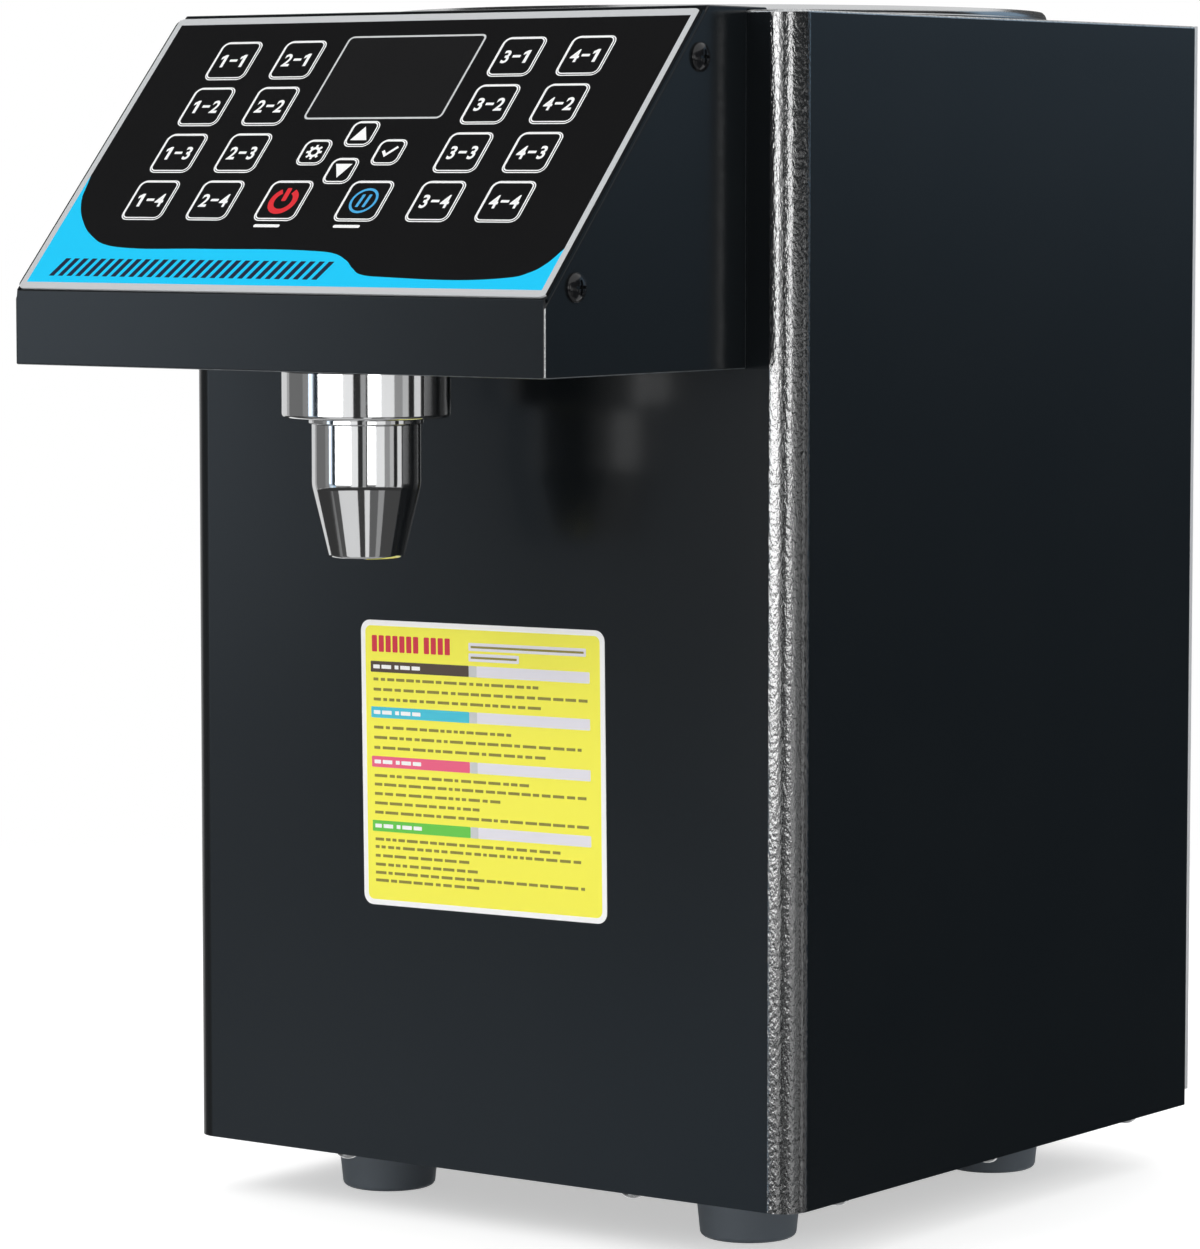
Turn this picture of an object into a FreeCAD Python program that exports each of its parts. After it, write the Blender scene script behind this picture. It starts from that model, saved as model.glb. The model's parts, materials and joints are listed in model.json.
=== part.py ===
import FreeCAD, Part
import math
import os

import Sketcher
from FreeCAD import Placement, Rotation, Vector

# Countertop fructose dispenser: a painted steel cabinet on four rubber feet, with a heated syrup
# tank hung in its top under a lift-off lid, a gear pump and its motor below the tank, and a head
# that overhangs the front with a sloping keypad above and a plated nozzle below.
# Millimetres. X is the width, +Y points to the back, +Z is up. The origin is the middle of the
# footprint on the ground.

SIZES = {
    # cabinet
    "cab_width": 270.0,  # across the painted wrap
    "cab_depth": 272.5,  # wrap, front face to rear edge
    "cab_height": 414.3,  # wrap, bottom edge to top edge
    "corner_radius": 10.0,  # upright front corners
    "sheet_gauge": 1.2,  # folded steel sheet
    "lip_width": 14.0,  # rear edges folded inwards
    "flange_width": 10.0,  # bottom edge folded inwards
    "fit_gap": 0.3,  # clearance between nested sheet parts
    "corner_trim": 3.0,  # lower rear corner cut off the side walls
    "base_gauge": 1.5,
    "rear_gauge": 2.2,
    "rear_rise": 6.0,  # rear panel starts this far above the wrap's bottom edge
    "skirt_depth": 15.0,  # down-turned edge of the top plate
    "vent_length": 70.0,
    "vent_width": 3.2,
    "vent_pitch": 9.0,
    "vent_height": 190.0,  # lowest vent above the wrap's bottom edge
    # head
    "head_width": 231.0,
    "head_overhang": 115.6,
    "head_bottom": 292.1,  # underside above the wrap's bottom edge
    "nose_height": 23.3,  # upright front face
    "top_run": 22.7,  # level top ahead of the cabinet
    "head_lap": 12.0,  # tongue of the head lying on the cabinet's top
    "slope_ledge": 5.0,  # sheet left at each end of the sloping opening
    "window_width": 190.0,  # opening between cabinet and head
    "window_height": 96.0,
    # control panel
    "panel_gauge": 1.2,
    "panel_inset": 2.7,  # gap between the slope's lower bend and the panel
    "panel_head_gap": 3.3,  # same at its upper bend
    "panel_skirt": 18.0,
    "skirt_inset": 6.0,  # skirt stops short of the panel's ends
    "overlay_gauge": 0.8,
    "overlay_edge": 0.2,
    "overlay_radius": 3.0,
    "key_side": 17.5,
    "key_radius": 2.8,
    "key_gauge": 0.55,
    "key_travel": 0.4,
    "key_rest_gap": 0.05,  # left under a pressed key
    "key_clearance": 0.15,
    "key_post_radius": 2.5,
    "post_clearance": 1.0,
    "row_gap": 4.85,
    "column_gap": 11.8,
    "first_row": 41.9,  # lowest row above the panel's lower edge
    "inner_column": 48.3,
    "power_column": 17.6,
    "small_key_side": 10.9,
    "arrow_spread": 8.65,
    "arrow_height": 64.45,
    "set_column": 16.4,
    "display_width": 59.0,
    "display_height": 38.0,
    "display_centre": 100.1,
    "display_radius": 1.5,
    "display_ledge": 4.0,
    "display_depth": 8.0,
    "board_width": 208.0,
    "board_margin": 9.0,
    "board_gauge": 1.6,
    "stud_length": 8.6,
    "stud_radius": 3.0,
    "stud_inset": 6.0,
    "switch_side": 6.0,
    "switch_height": 3.8,
    # nozzle
    "nozzle_setback": 63.9,  # axis ahead of the cabinet's front
    "nozzle_flange_radius": 29.3,
    "nozzle_flange_height": 16.3,
    "gasket_gauge": 1.0,
    "flange_round": 1.4,  # lower edge
    "flange_edge_round": 0.5,  # upper edge
    "collar_radius": 20.0,
    "collar_height": 2.0,
    "barrel_radius": 19.0,
    "barrel_straight": 23.3,
    "barrel_taper": 23.2,
    "bend_round": 2.0,
    "tip_radius": 13.0,
    "tip_round": 1.6,
    "chamber_radius": 12.0,
    "chamber_depth": 32.8,
    "outlet_radius": 7.0,
    "neck_radius": 12.0,
    "thread_clearance": 0.05,
    "neck_clearance": 0.3,
    "locknut_flats": 34.0,
    "locknut_height": 6.0,
    "neck_spare": 2.0,
    "seat_bore": 6.0,
    "poppet_radius": 10.0,
    "poppet_height": 3.0,
    "poppet_seat_gap": 0.2,
    "stem_radius": 2.5,
    "stem_length": 17.5,
    "spring_wire": 0.6,  # radius
    "spring_radius": 9.0,
    "spring_turns": 6.0,
    "spring_end_gap": 0.1,
    # hoses
    "hose_radius": 8.0,
    "hose_bore": 5.0,
    "barb_radius": 4.9,
    "barb_bore": 3.5,
    "barb_length": 14.0,
    "barb_bare": 2.0,  # barb left showing at the hose's end
    "riser_setback": 16.0,  # rising hose behind the cabinet's front
    "crossover_rise": 54.0,  # hose over the head's underside
    "riser_bend": 30.0,
    "nozzle_bend": 28.0,
    "clamp_width": 7.0,
    "clamp_gauge": 1.25,
    "clamp_lug": 5.0,
    # tank and lid
    "tank_side_gap": 23.0,  # from the tank to the outside of the nearest wall
    "tank_front_gap": 36.6,
    "tank_rear_gap": 11.9,
    "tank_gauge": 1.0,
    "tank_depth": 232.0,
    "tank_fall": 8.0,
    "tank_rim": 7.0,  # flange standing out past the wall
    "rim_gauge": 1.2,
    "mouth_clearance": 0.4,
    "spigot_length": 20.0,
    "lid_overhang": 12.7,  # lid past the tank's wall
    "lid_gauge": 0.8,
    "lid_height": 4.0,
    "lid_gap": 0.4,
    "lid_lip": 1.3,
    "lid_round": 1.4,
    "recess_radius": 38.0,
    "recess_depth": 7.2,
    "seal_width": 5.0,
    "seal_gap": 0.05,
    "knob_radius": 18.0,
    "knob_waist": 11.0,
    "knob_height": 6.6,
    "knob_cap": 3.4,
    "knob_round": 1.4,
    "band_gauge": 2.0,
    "band_height": 50.0,
    "band_rise": 17.0,
    "terminal_length": 30.0,
    "terminal_depth": 10.0,
    # pump
    "pump_setback": 85.0,
    "pump_height": 75.0,
    "gear_module": 2.0,
    "gear_teeth": 12.0,
    "gear_width": 19.6,
    "gear_tip": 1.7,  # addendum
    "gear_root": 2.1,  # dedendum
    "gear_backlash": 0.2,
    "gear_side_gap": 0.2,
    "gear_tip_gap": 0.15,
    "pump_wall": 8.0,
    "pump_back": 4.0,
    "pump_cover_gauge": 5.0,
    "shaft_radius": 4.0,
    "shaft_clearance": 0.05,
    "shaft_end_gap": 0.2,
    "port_boss": 8.0,
    "port_boss_length": 4.0,
    "bracket_gauge": 3.0,
    "bracket_width": 60.0,
    "bracket_foot": 36.0,
    "motor_radius": 26.0,
    "motor_length": 83.0,
    "motor_socket": 17.0,
    # electrics
    "supply_width": 110.0,
    "supply_depth": 72.0,
    "supply_height": 40.0,
    "supply_rear_gap": 9.0,
    "inlet_column": 60.0,
    "inlet_height": 95.0,
    "inlet_width": 27.0,
    "inlet_tall": 20.0,
    "inlet_depth": 22.0,
    "inlet_wall": 2.0,
    "inlet_flange_width": 50.0,
    "inlet_flange_tall": 28.0,
    "rear_trim": 3.4,
    "pin_length": 13.0,
    "switch_column": 12.0,
    "bezel_width": 21.0,
    "bezel_tall": 27.0,
    "bezel_gauge": 2.0,
    "frame_wall": 1.5,
    "rocker_width": 11.4,
    "rocker_tall": 16.8,
    "rocker_play": 0.3,
    "rocker_end_gap": 1.1,
    "rocker_sink": 4.6,
    "rocker_crest": 4.2,  # ends of its face above the pivot
    "rocker_dip": 2.7,  # middle of its face above the pivot
    "rocker_back": 5.5,
    "well_depth": 16.8,
    "rocker_throw": 10.0,  # degrees each side of level
    # feet and screws
    "foot_height": 21.0,
    "foot_top_radius": 19.5,
    "foot_bottom_radius": 17.0,
    "foot_round": 3.5,
    "foot_span": 164.0,
    "foot_setback": 51.5,
    "foot_bore": 6.5,
    "foot_bore_depth": 12.0,
    "screw_radius": 1.9,
    "screw_hole": 2.2,
    "pan_radius": 3.9,
    "pan_height": 2.2,
    "truss_radius": 5.0,
    "truss_height": 2.5,
    "base_screw_column": 64.5,
    "base_screw_pitch": 99.5,
    "base_screw_length": 8.0,
    "foot_screw_length": 16.0,
    "rear_screw_rise": 26.0,
    "cheek_screw_spread": 52.0,
    "cheek_screw_depth": 8.0,
    "cheek_screw_length": 6.0,
    "pump_screw_circle": 18.0,
    # notice card
    "card_width": 109.0,
    "card_height": 103.0,
    "card_gauge": 0.3,
    "card_radius": 4.0,
    "card_column": 1.7,
    "card_centre": 146.0,
}
CARD_TILT = 0.7  # degrees, applied by hand a little out of true
PRESSURE_ANGLE = 20.0  # degrees
FLANK_POINTS = 8
VENTS = 9  # rows
THROUGH = 4  # thicknesses that a cut right through a sheet spans
TRIM_BOW = 0.29  # how far a trimmed corner's middle stands in, as a share of its legs
SHAFT_SEAT = 0.75  # share of a wall's thickness that holds a blind shaft end
PIN_SPOTS = ((-0.25, -0.12), (0.25, -0.12), (0, 0.22))  # shares of the socket's width and height
SCREW_RIM = 0.3  # upright part of a screw head, as a share of its height
SCREW_CROWN = (0.62, 0.86)  # point its dome passes, as shares of its radius and height
CROSS_REACH, CROSS_WIDTH, CROSS_FLOOR = 0.5, 0.2, 0.45  # recess, as shares of the same two
HOSE_ERROR = 0.01  # share by which a swept hose may miss its expected volume
TOLERANCE = 1e-3

doc = FreeCAD.newDocument("fructose_dispenser")
sheet = doc.addObject("Spreadsheet::Sheet", "sizes")
for row, (alias, number) in enumerate(SIZES.items(), 1):
    sheet.set(f"A{row}", alias)
    sheet.set(f"B{row}", str(number))
    sheet.setAlias(f"B{row}", alias)
doc.recompute()


class Size:
    """A number together with the sheet expression that gives it."""

    def __init__(self, value, text):
        self.value = value
        self.text = text

    def combine(self, other, sign, value, swap=False):
        first, second = (text_of(other), self.text) if swap else (self.text, text_of(other))
        return Size(value, f"({first} {sign} {second})")

    def __add__(self, other):
        return self.combine(other, "+", self.value + value_of(other))

    def __radd__(self, other):
        return self.combine(other, "+", value_of(other) + self.value, swap=True)

    def __sub__(self, other):
        return self.combine(other, "-", self.value - value_of(other))

    def __rsub__(self, other):
        return self.combine(other, "-", value_of(other) - self.value, swap=True)

    def __mul__(self, other):
        return self.combine(other, "*", self.value * value_of(other))

    def __rmul__(self, other):
        return self.combine(other, "*", value_of(other) * self.value, swap=True)

    def __truediv__(self, other):
        return self.combine(other, "/", self.value / value_of(other))

    def __neg__(self):
        return Size(-self.value, f"(0 - {self.text})")


class Names:
    """The sheet's cells as attributes."""


def least(first, second):
    return Size(min(first.value, second.value), f"min({first.text}; {second.text})")


def value_of(length):
    return length.value if isinstance(length, Size) else float(length)


def text_of(length):
    return length.text if isinstance(length, Size) else repr(float(length))


def root(square):
    return Size(math.sqrt(square.value), f"sqrt({square.text})")


at = Names()
for alias in SIZES:
    setattr(at, alias, Size(float(sheet.get(alias)), f"sizes.{alias}"))

# Places that several pieces share.
half_width = at.cab_width / 2
inner_half = half_width - at.sheet_gauge
overall_depth = at.head_overhang + at.cab_depth + at.rear_gauge + at.rear_trim
front_y = at.head_overhang - overall_depth / 2
rear_y = front_y + at.cab_depth
top_z = at.foot_height + at.cab_height
floor_z = at.foot_height + at.sheet_gauge + at.base_gauge
head_z = at.foot_height + at.head_bottom
head_half = at.head_width / 2

slope_run = at.head_overhang - at.top_run
slope_rise = at.cab_height + at.sheet_gauge - at.head_bottom - at.nose_height
slope_length = root(slope_run * slope_run + slope_rise * slope_rise)
slope_cos = slope_run / slope_length
slope_sin = slope_rise / slope_length
slope_turn = Rotation(Vector(1, 0, 0), math.degrees(math.atan2(slope_rise.value, slope_run.value)))
panel_length = slope_length - at.panel_inset - at.panel_head_gap
panel_at = (
    0,
    front_y - at.head_overhang + at.panel_inset * slope_cos,
    head_z + at.nose_height + at.panel_inset * slope_sin,
)

nozzle_at = (0, front_y - at.nozzle_setback, head_z)
seat_z = -(at.gasket_gauge + at.nozzle_flange_height + at.collar_height)
neck_top = at.sheet_gauge + at.locknut_height + at.neck_spare
tank_room = (at.cab_depth - at.tank_front_gap - at.tank_rear_gap) / 2
tank_radius = least(half_width - at.tank_side_gap, tank_room)
tank_setback = at.cab_depth - at.tank_rear_gap - tank_radius
tank_at = (0, front_y + tank_setback, top_z)
lid_radius = tank_radius + at.lid_overhang
spigot_z = -(at.tank_depth + at.tank_fall)

gear_centres = at.gear_module * at.gear_teeth
gear_tip_radius = gear_centres / 2 + at.gear_tip
cavity_radius = gear_tip_radius + at.gear_tip_gap
pump_round = cavity_radius + at.pump_wall
cavity_half = at.gear_width / 2 + at.gear_side_gap
pump_back_x = cavity_half + at.pump_back
port_reach = pump_round + at.port_boss_length
pump_at = (0, front_y + at.pump_setback, at.foot_height + at.pump_height)

pieces = []


def bind(thing, name, length):
    """Give a property its value and, where there is one, the expression behind it."""
    if isinstance(length, Size):
        thing.setExpression(name, length.text)
    else:
        setattr(thing, name, length)


def place(thing, where, turn=None):
    """Put an object at a bound position, turned about its own origin."""
    thing.Placement = Placement(Vector(*[value_of(step) for step in where]), turn or Rotation())
    for axis, step in zip("xyz", where):
        if isinstance(step, Size):
            thing.setExpression(f"Placement.Base.{axis}", step.text)


def keep(thing, label):
    """Register a finished sub-part under the name of its file."""
    thing.Label = label
    pieces.append(thing)
    return thing


class Sheetwork:
    """One PartDesign body and the sketches and features that shape it."""

    def __init__(self, label, where, turn=None):
        self.body = keep(doc.addObject("PartDesign::Body", label), label)
        self.label = label
        place(self.body, where, turn)

    def sketch(self, plane="XY_Plane", offset=None):
        """Start a sketch on one of the body's own planes, moved along its normal."""
        drawing = self.body.newObject("Sketcher::SketchObject", f"{self.label}_sketch")
        support = next(item for item in self.body.Origin.OriginFeatures if item.Role == plane)
        drawing.AttachmentSupport = (support, [""])
        drawing.MapMode = "FlatFace"
        if offset is not None:
            drawing.AttachmentOffset = Placement(Vector(0, 0, value_of(offset)), Rotation())
            drawing.setExpression("AttachmentOffset.Base.z", text_of(offset))
        return drawing

    def feature(self, kind, drawing):
        """Add a sketch-based feature to the body."""
        step = self.body.newObject(f"PartDesign::{kind}", f"{self.label}_{kind.lower()}")
        step.Profile = drawing
        return step

    def pad(self, drawing, length, symmetric=False, reverse=False):
        step = self.feature("Pad", drawing)
        bind(step, "Length", length)
        step.Midplane = symmetric
        step.Reversed = reverse
        doc.recompute()
        return self

    def pocket(self, drawing, length, symmetric=True, reverse=False):
        """Cut a sketch out of the body and check that something was cut."""
        before = self.body.Shape.Volume
        step = self.feature("Pocket", drawing)
        bind(step, "Length", length)
        step.Midplane = symmetric
        step.Reversed = reverse
        doc.recompute()
        if self.body.Shape.Volume > before - TOLERANCE:
            raise RuntimeError(f"{self.label}: a pocket cuts nothing")
        return self

    def revolve(self, outline):
        """Turn an outline of radii and heights into a solid about the upright axis."""
        drawing = self.sketch("XZ_Plane")
        polygon(drawing, outline)
        step = self.feature("Revolution", drawing)
        step.ReferenceAxis = (drawing, ["V_Axis"])
        step.Angle = 360.0
        doc.recompute()
        return self

    def fillet(self, chosen, radius):
        """Round every edge that the test accepts."""
        edges = self.body.Tip.Shape.Edges
        names = [f"Edge{index}" for index, edge in enumerate(edges, 1) if chosen(edge)]
        if not names:
            raise RuntimeError(f"{self.label}: no edge to round")
        base = self.body.Tip
        step = self.body.newObject("PartDesign::Fillet", f"{self.label}_fillet")
        step.Base = (base, names)
        bind(step, "Radius", radius)
        doc.recompute()
        return self


def locate(drawing, element, point, across, up):
    """Tie a sketch point to its distances from the sketch's origin."""
    for kind, axis, step in (("DistanceX", -2, across), ("DistanceY", -1, up)):
        if abs(value_of(step)) < TOLERANCE:
            drawing.addConstraint(Sketcher.Constraint("PointOnObject", element, point, axis))
            continue
        number = drawing.addConstraint(
            Sketcher.Constraint(kind, -1, 1, element, point, value_of(step))
        )
        if isinstance(step, Size):
            drawing.setExpression(f"Constraints[{number}]", step.text)


def polygon(drawing, points):
    """Draw a closed outline of straight lines."""
    first = drawing.GeometryCount
    count = len(points)
    spots = [Vector(value_of(across), value_of(up), 0) for across, up in points]
    for index in range(count):
        line = Part.LineSegment(spots[index], spots[(index + 1) % count])
        drawing.addGeometry(line, False)
    for index in range(count):
        following = first + (index + 1) % count
        drawing.addConstraint(Sketcher.Constraint("Coincident", first + index, 2, following, 1))
    for index, (across, up) in enumerate(points):
        locate(drawing, first + index, 1, across, up)


def rectangle(drawing, centre, width, height):
    across, up = centre
    polygon(drawing, [
        (across - width / 2, up - height / 2),
        (across + width / 2, up - height / 2),
        (across + width / 2, up + height / 2),
        (across - width / 2, up + height / 2),
    ])


def circle(drawing, centre, radius):
    across, up = centre
    spot = Vector(value_of(across), value_of(up), 0)
    element = drawing.addGeometry(Part.Circle(spot, Vector(0, 0, 1), value_of(radius)), False)
    number = drawing.addConstraint(Sketcher.Constraint("Radius", element, value_of(radius)))
    if isinstance(radius, Size):
        drawing.setExpression(f"Constraints[{number}]", radius.text)
    locate(drawing, element, 3, across, up)


def rounded_rectangle(drawing, centre, width, height, radius):
    """Draw four lines joined by tangent corner arcs."""
    across, up = centre
    first = drawing.GeometryCount
    reach_x, reach_y = width / 2 - radius, height / 2 - radius
    x, y = value_of(across), value_of(up)
    dx, dy, r = value_of(reach_x), value_of(reach_y), value_of(radius)
    corners = [(1, -1), (1, 1), (-1, 1), (-1, -1)]
    for index, (side, end) in enumerate(corners):
        start = math.radians(-90 + 90 * index)
        middle = Vector(x + side * dx, y + end * dy, 0)
        round_corner = Part.Circle(middle, Vector(0, 0, 1), r)
        drawing.addGeometry(Part.ArcOfCircle(round_corner, start, start + math.pi / 2), False)
    sides = [
        ((x + dx + r, y - dy), (x + dx + r, y + dy)),
        ((x + dx, y + dy + r), (x - dx, y + dy + r)),
        ((x - dx - r, y + dy), (x - dx - r, y - dy)),
        ((x - dx, y - dy - r), (x + dx, y - dy - r)),
    ]
    for index, (tail, tip) in enumerate(sides):
        element = drawing.addGeometry(Part.LineSegment(Vector(*tail, 0), Vector(*tip, 0)), False)
        kind = "Vertical" if index % 2 == 0 else "Horizontal"
        drawing.addConstraint(Sketcher.Constraint(kind, element))
    for index in range(4):
        line, following = first + 4 + index, first + (index + 1) % 4
        drawing.addConstraint(Sketcher.Constraint("Tangent", first + index, 2, line, 1))
        drawing.addConstraint(Sketcher.Constraint("Tangent", line, 2, following, 1))
    for index in range(1, 4):
        drawing.addConstraint(Sketcher.Constraint("Equal", first, first + index))
    number = drawing.addConstraint(Sketcher.Constraint("Radius", first, r))
    if isinstance(radius, Size):
        drawing.setExpression(f"Constraints[{number}]", radius.text)
    locate(drawing, first, 3, across + reach_x, up - reach_y)
    locate(drawing, first + 2, 3, across - reach_x, up + reach_y)


def upright(edge, spots):
    """Say whether an edge is vertical and stands at one of some points of the plan."""
    ends = [vertex.Point for vertex in edge.Vertexes]
    if len(ends) != 2 or abs((ends[0] - ends[1]).Length - abs(ends[0].z - ends[1].z)) > TOLERANCE:
        return False
    return any(
        abs(ends[0].x - value_of(x)) < TOLERANCE and abs(ends[0].y - value_of(y)) < TOLERANCE
        for x, y in spots
    )


def rim(edge, radius, height):
    """Say whether an edge is a circle of some radius about the upright axis at some height."""
    curve = edge.Curve
    return (
        isinstance(curve, Part.Circle)
        and abs(curve.Radius - value_of(radius)) < TOLERANCE
        and abs(curve.Center.z - value_of(height)) < TOLERANCE
    )


def box(low, high):
    """Make a bound box between two corners."""
    thing = doc.addObject("Part::Box", "box")
    for name, start, end in zip(("Length", "Width", "Height"), low, high):
        bind(thing, name, end - start)
    place(thing, low)
    return thing


AXES = {
    "X": Rotation(Vector(0, 1, 0), 90),
    "Y": Rotation(Vector(1, 0, 0), -90),
    "Z": Rotation(),
}


def rod(radius, length, where, axis="Z"):
    """Make a bound cylinder that starts at a point and runs along +X, +Y or +Z."""
    thing = doc.addObject("Part::Cylinder", "rod")
    bind(thing, "Radius", radius)
    bind(thing, "Height", length)
    place(thing, where, AXES[axis])
    return thing


def fuse(*parts):
    thing = doc.addObject("Part::MultiFuse", "fusion")
    thing.Shapes = list(parts)
    return thing


def cut(base, *tools):
    thing = doc.addObject("Part::Cut", "difference")
    thing.Base = base
    thing.Tool = tools[0] if len(tools) == 1 else fuse(*tools)
    return thing


def shift(where, x=0, y=0, z=0):
    return (where[0] + x, where[1] + y, where[2] + z)


def solid_feature(label, shape, where=(0, 0, 0)):
    """Register a shape made with Part's own functions as a sub-part."""
    thing = doc.addObject("Part::Feature", label)
    thing.Shape = shape
    place(thing, where)
    return keep(thing, label)


def point(where):
    return Vector(*[value_of(step) for step in where])


# --- keypad layout, in the panel's own frame: X across, Y up the slope from its lower edge ---

key_pitch = at.key_side + at.row_gap
outer_column = at.inner_column + at.key_side + at.column_gap
DOSE_COLUMNS = {1: -outer_column, 2: -at.inner_column, 3: at.inner_column, 4: outer_column}
DOSE_ROWS = 4

keys = {}
for column, x in DOSE_COLUMNS.items():
    for row in range(1, DOSE_ROWS + 1):
        keys[f"key_{column}_{row}"] = ((x, at.first_row + (DOSE_ROWS - row) * key_pitch), at.key_side)
keys["key_power"] = ((-at.power_column, at.first_row), at.key_side)
keys["key_pause"] = ((at.power_column, at.first_row), at.key_side)
keys["key_up"] = ((0, at.arrow_height + at.arrow_spread), at.small_key_side)
keys["key_down"] = ((0, at.arrow_height - at.arrow_spread), at.small_key_side)
keys["key_set"] = ((-at.set_column, at.arrow_height), at.small_key_side)
keys["key_save"] = ((at.set_column, at.arrow_height), at.small_key_side)

base_screw_row = at.flange_width / 2
base_screw_side = half_width - at.flange_width / 2
base_screws = [(side * at.base_screw_column, base_screw_row) for side in (-1, 1)]
base_screws += [
    (side * base_screw_side, at.cab_depth / 2 + step * at.base_screw_pitch)
    for side in (-1, 1) for step in (-1, 0, 1)
]
foot_places = [
    (side * at.foot_span / 2, at.foot_setback + step * at.foot_span)
    for side in (-1, 1) for step in (0, 1)
]
rear_screw_column = half_width - at.lip_width / 2
rear_screws = [
    (side * rear_screw_column, height)
    for side in (-1, 1)
    for height in (at.rear_screw_rise, at.cab_height / 2, at.cab_height - at.rear_screw_rise)
]
cheek_screws = [
    (panel_length / 2 + end * at.cheek_screw_spread, -at.cheek_screw_depth) for end in (-1, 1)
]
pump_screw_offset = at.pump_screw_circle / math.sqrt(2)
pump_screws = [
    (side * pump_screw_offset, end * (gear_centres / 2 + pump_screw_offset))
    for side in (-1, 1) for end in (-1, 1)
]


# --- cabinet ---

def cabinet_wrap():
    """Front and side walls folded from one sheet, with rear lips and a bottom flange."""
    part = Sheetwork("cabinet_wrap", (0, front_y, at.foot_height))
    lip = half_width - at.lip_width
    inside = at.cab_depth - at.sheet_gauge
    plan = part.sketch()
    polygon(plan, [
        (-half_width, 0), (half_width, 0), (half_width, at.cab_depth), (lip, at.cab_depth),
        (lip, inside), (inner_half, inside), (inner_half, at.sheet_gauge),
        (-inner_half, at.sheet_gauge), (-inner_half, inside), (-lip, inside),
        (-lip, at.cab_depth), (-half_width, at.cab_depth),
    ])
    part.pad(plan, at.cab_height)
    outer = [(-half_width, 0), (half_width, 0)]
    inner = [(-inner_half, at.sheet_gauge), (inner_half, at.sheet_gauge)]
    part.fillet(lambda edge: upright(edge, outer), at.corner_radius)
    part.fillet(lambda edge: upright(edge, inner), at.corner_radius - at.sheet_gauge)
    flange = part.sketch()
    hem = half_width - at.sheet_gauge / 2
    tongue = half_width - at.flange_width
    notch = at.corner_radius + at.sheet_gauge
    polygon(flange, [
        (-hem, notch), (-hem + notch, at.sheet_gauge / 2), (hem - notch, at.sheet_gauge / 2),
        (hem, notch), (hem, inside - at.fit_gap), (tongue, inside - at.fit_gap),
        (tongue, at.flange_width), (-tongue, at.flange_width), (-tongue, inside - at.fit_gap),
        (-hem, inside - at.fit_gap),
    ])
    part.pad(flange, at.sheet_gauge)
    holes = part.sketch()
    for spot in base_screws:
        circle(holes, spot, at.screw_hole)
    part.pocket(holes, THROUGH * at.sheet_gauge)
    lips = part.sketch("XZ_Plane", -at.cab_depth)
    for spot in rear_screws:
        circle(lips, spot, at.screw_hole)
    part.pocket(lips, THROUGH * at.sheet_gauge)
    window = part.sketch("XZ_Plane")
    middle = (at.head_bottom + at.cab_height) / 2
    rectangle(window, (0, middle), at.window_width, at.window_height)
    part.pocket(window, THROUGH * at.sheet_gauge)
    corner = part.sketch("YZ_Plane")
    trim = at.corner_trim
    past = at.cab_depth + at.sheet_gauge
    polygon(corner, [
        (at.cab_depth - trim, 0), (at.cab_depth - trim * TRIM_BOW, trim * TRIM_BOW), (at.cab_depth, trim),
        (past, trim), (past, -at.sheet_gauge), (at.cab_depth - trim, -at.sheet_gauge),
    ])
    part.pocket(corner, 2 * at.cab_width)


def base_plate():
    """Flat floor lying on the wrap's bottom flange."""
    part = Sheetwork("base_plate", (0, front_y, at.foot_height + at.sheet_gauge))
    side = inner_half - at.fit_gap
    front = at.sheet_gauge + at.fit_gap
    rear = at.cab_depth - at.sheet_gauge - at.fit_gap
    plan = part.sketch()
    polygon(plan, [(-side, front), (side, front), (side, rear), (-side, rear)])
    part.pad(plan, at.base_gauge)
    corners = [(-side, front), (side, front)]
    part.fillet(lambda edge: upright(edge, corners), at.corner_radius)
    holes = part.sketch()
    for spot in base_screws + foot_places:
        circle(holes, spot, at.screw_hole)
    part.pocket(holes, THROUGH * at.base_gauge)


def rear_panel():
    """Bare sheet screwed to the rear lips, with vents and cut-outs for the mains fittings."""
    part = Sheetwork("rear_panel", (0, rear_y, at.foot_height))
    face = part.sketch("XZ_Plane")
    polygon(face, [
        (-half_width, at.rear_rise), (half_width, at.rear_rise),
        (half_width, at.cab_height), (-half_width, at.cab_height),
    ])
    part.pad(face, at.rear_gauge, reverse=True)
    holes = part.sketch("XZ_Plane")
    for spot in rear_screws:
        circle(holes, spot, at.screw_hole)
    inlet = (-at.inlet_column, at.inlet_height)
    rectangle(holes, inlet, at.inlet_width + 2 * at.fit_gap, at.inlet_tall + 2 * at.fit_gap)
    wide, tall = switch_body()
    switch = (at.switch_column, at.inlet_height)
    rectangle(holes, switch, wide + 2 * at.fit_gap, tall + 2 * at.fit_gap)
    for step in range(VENTS):
        height = at.vent_height + step * at.vent_pitch
        for side in (-1, 1):
            spot = (side * (at.vent_length / 2 + at.vent_pitch), height)
            rectangle(holes, spot, at.vent_length, at.vent_width)
    part.pocket(holes, THROUGH * at.rear_gauge)


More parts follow.
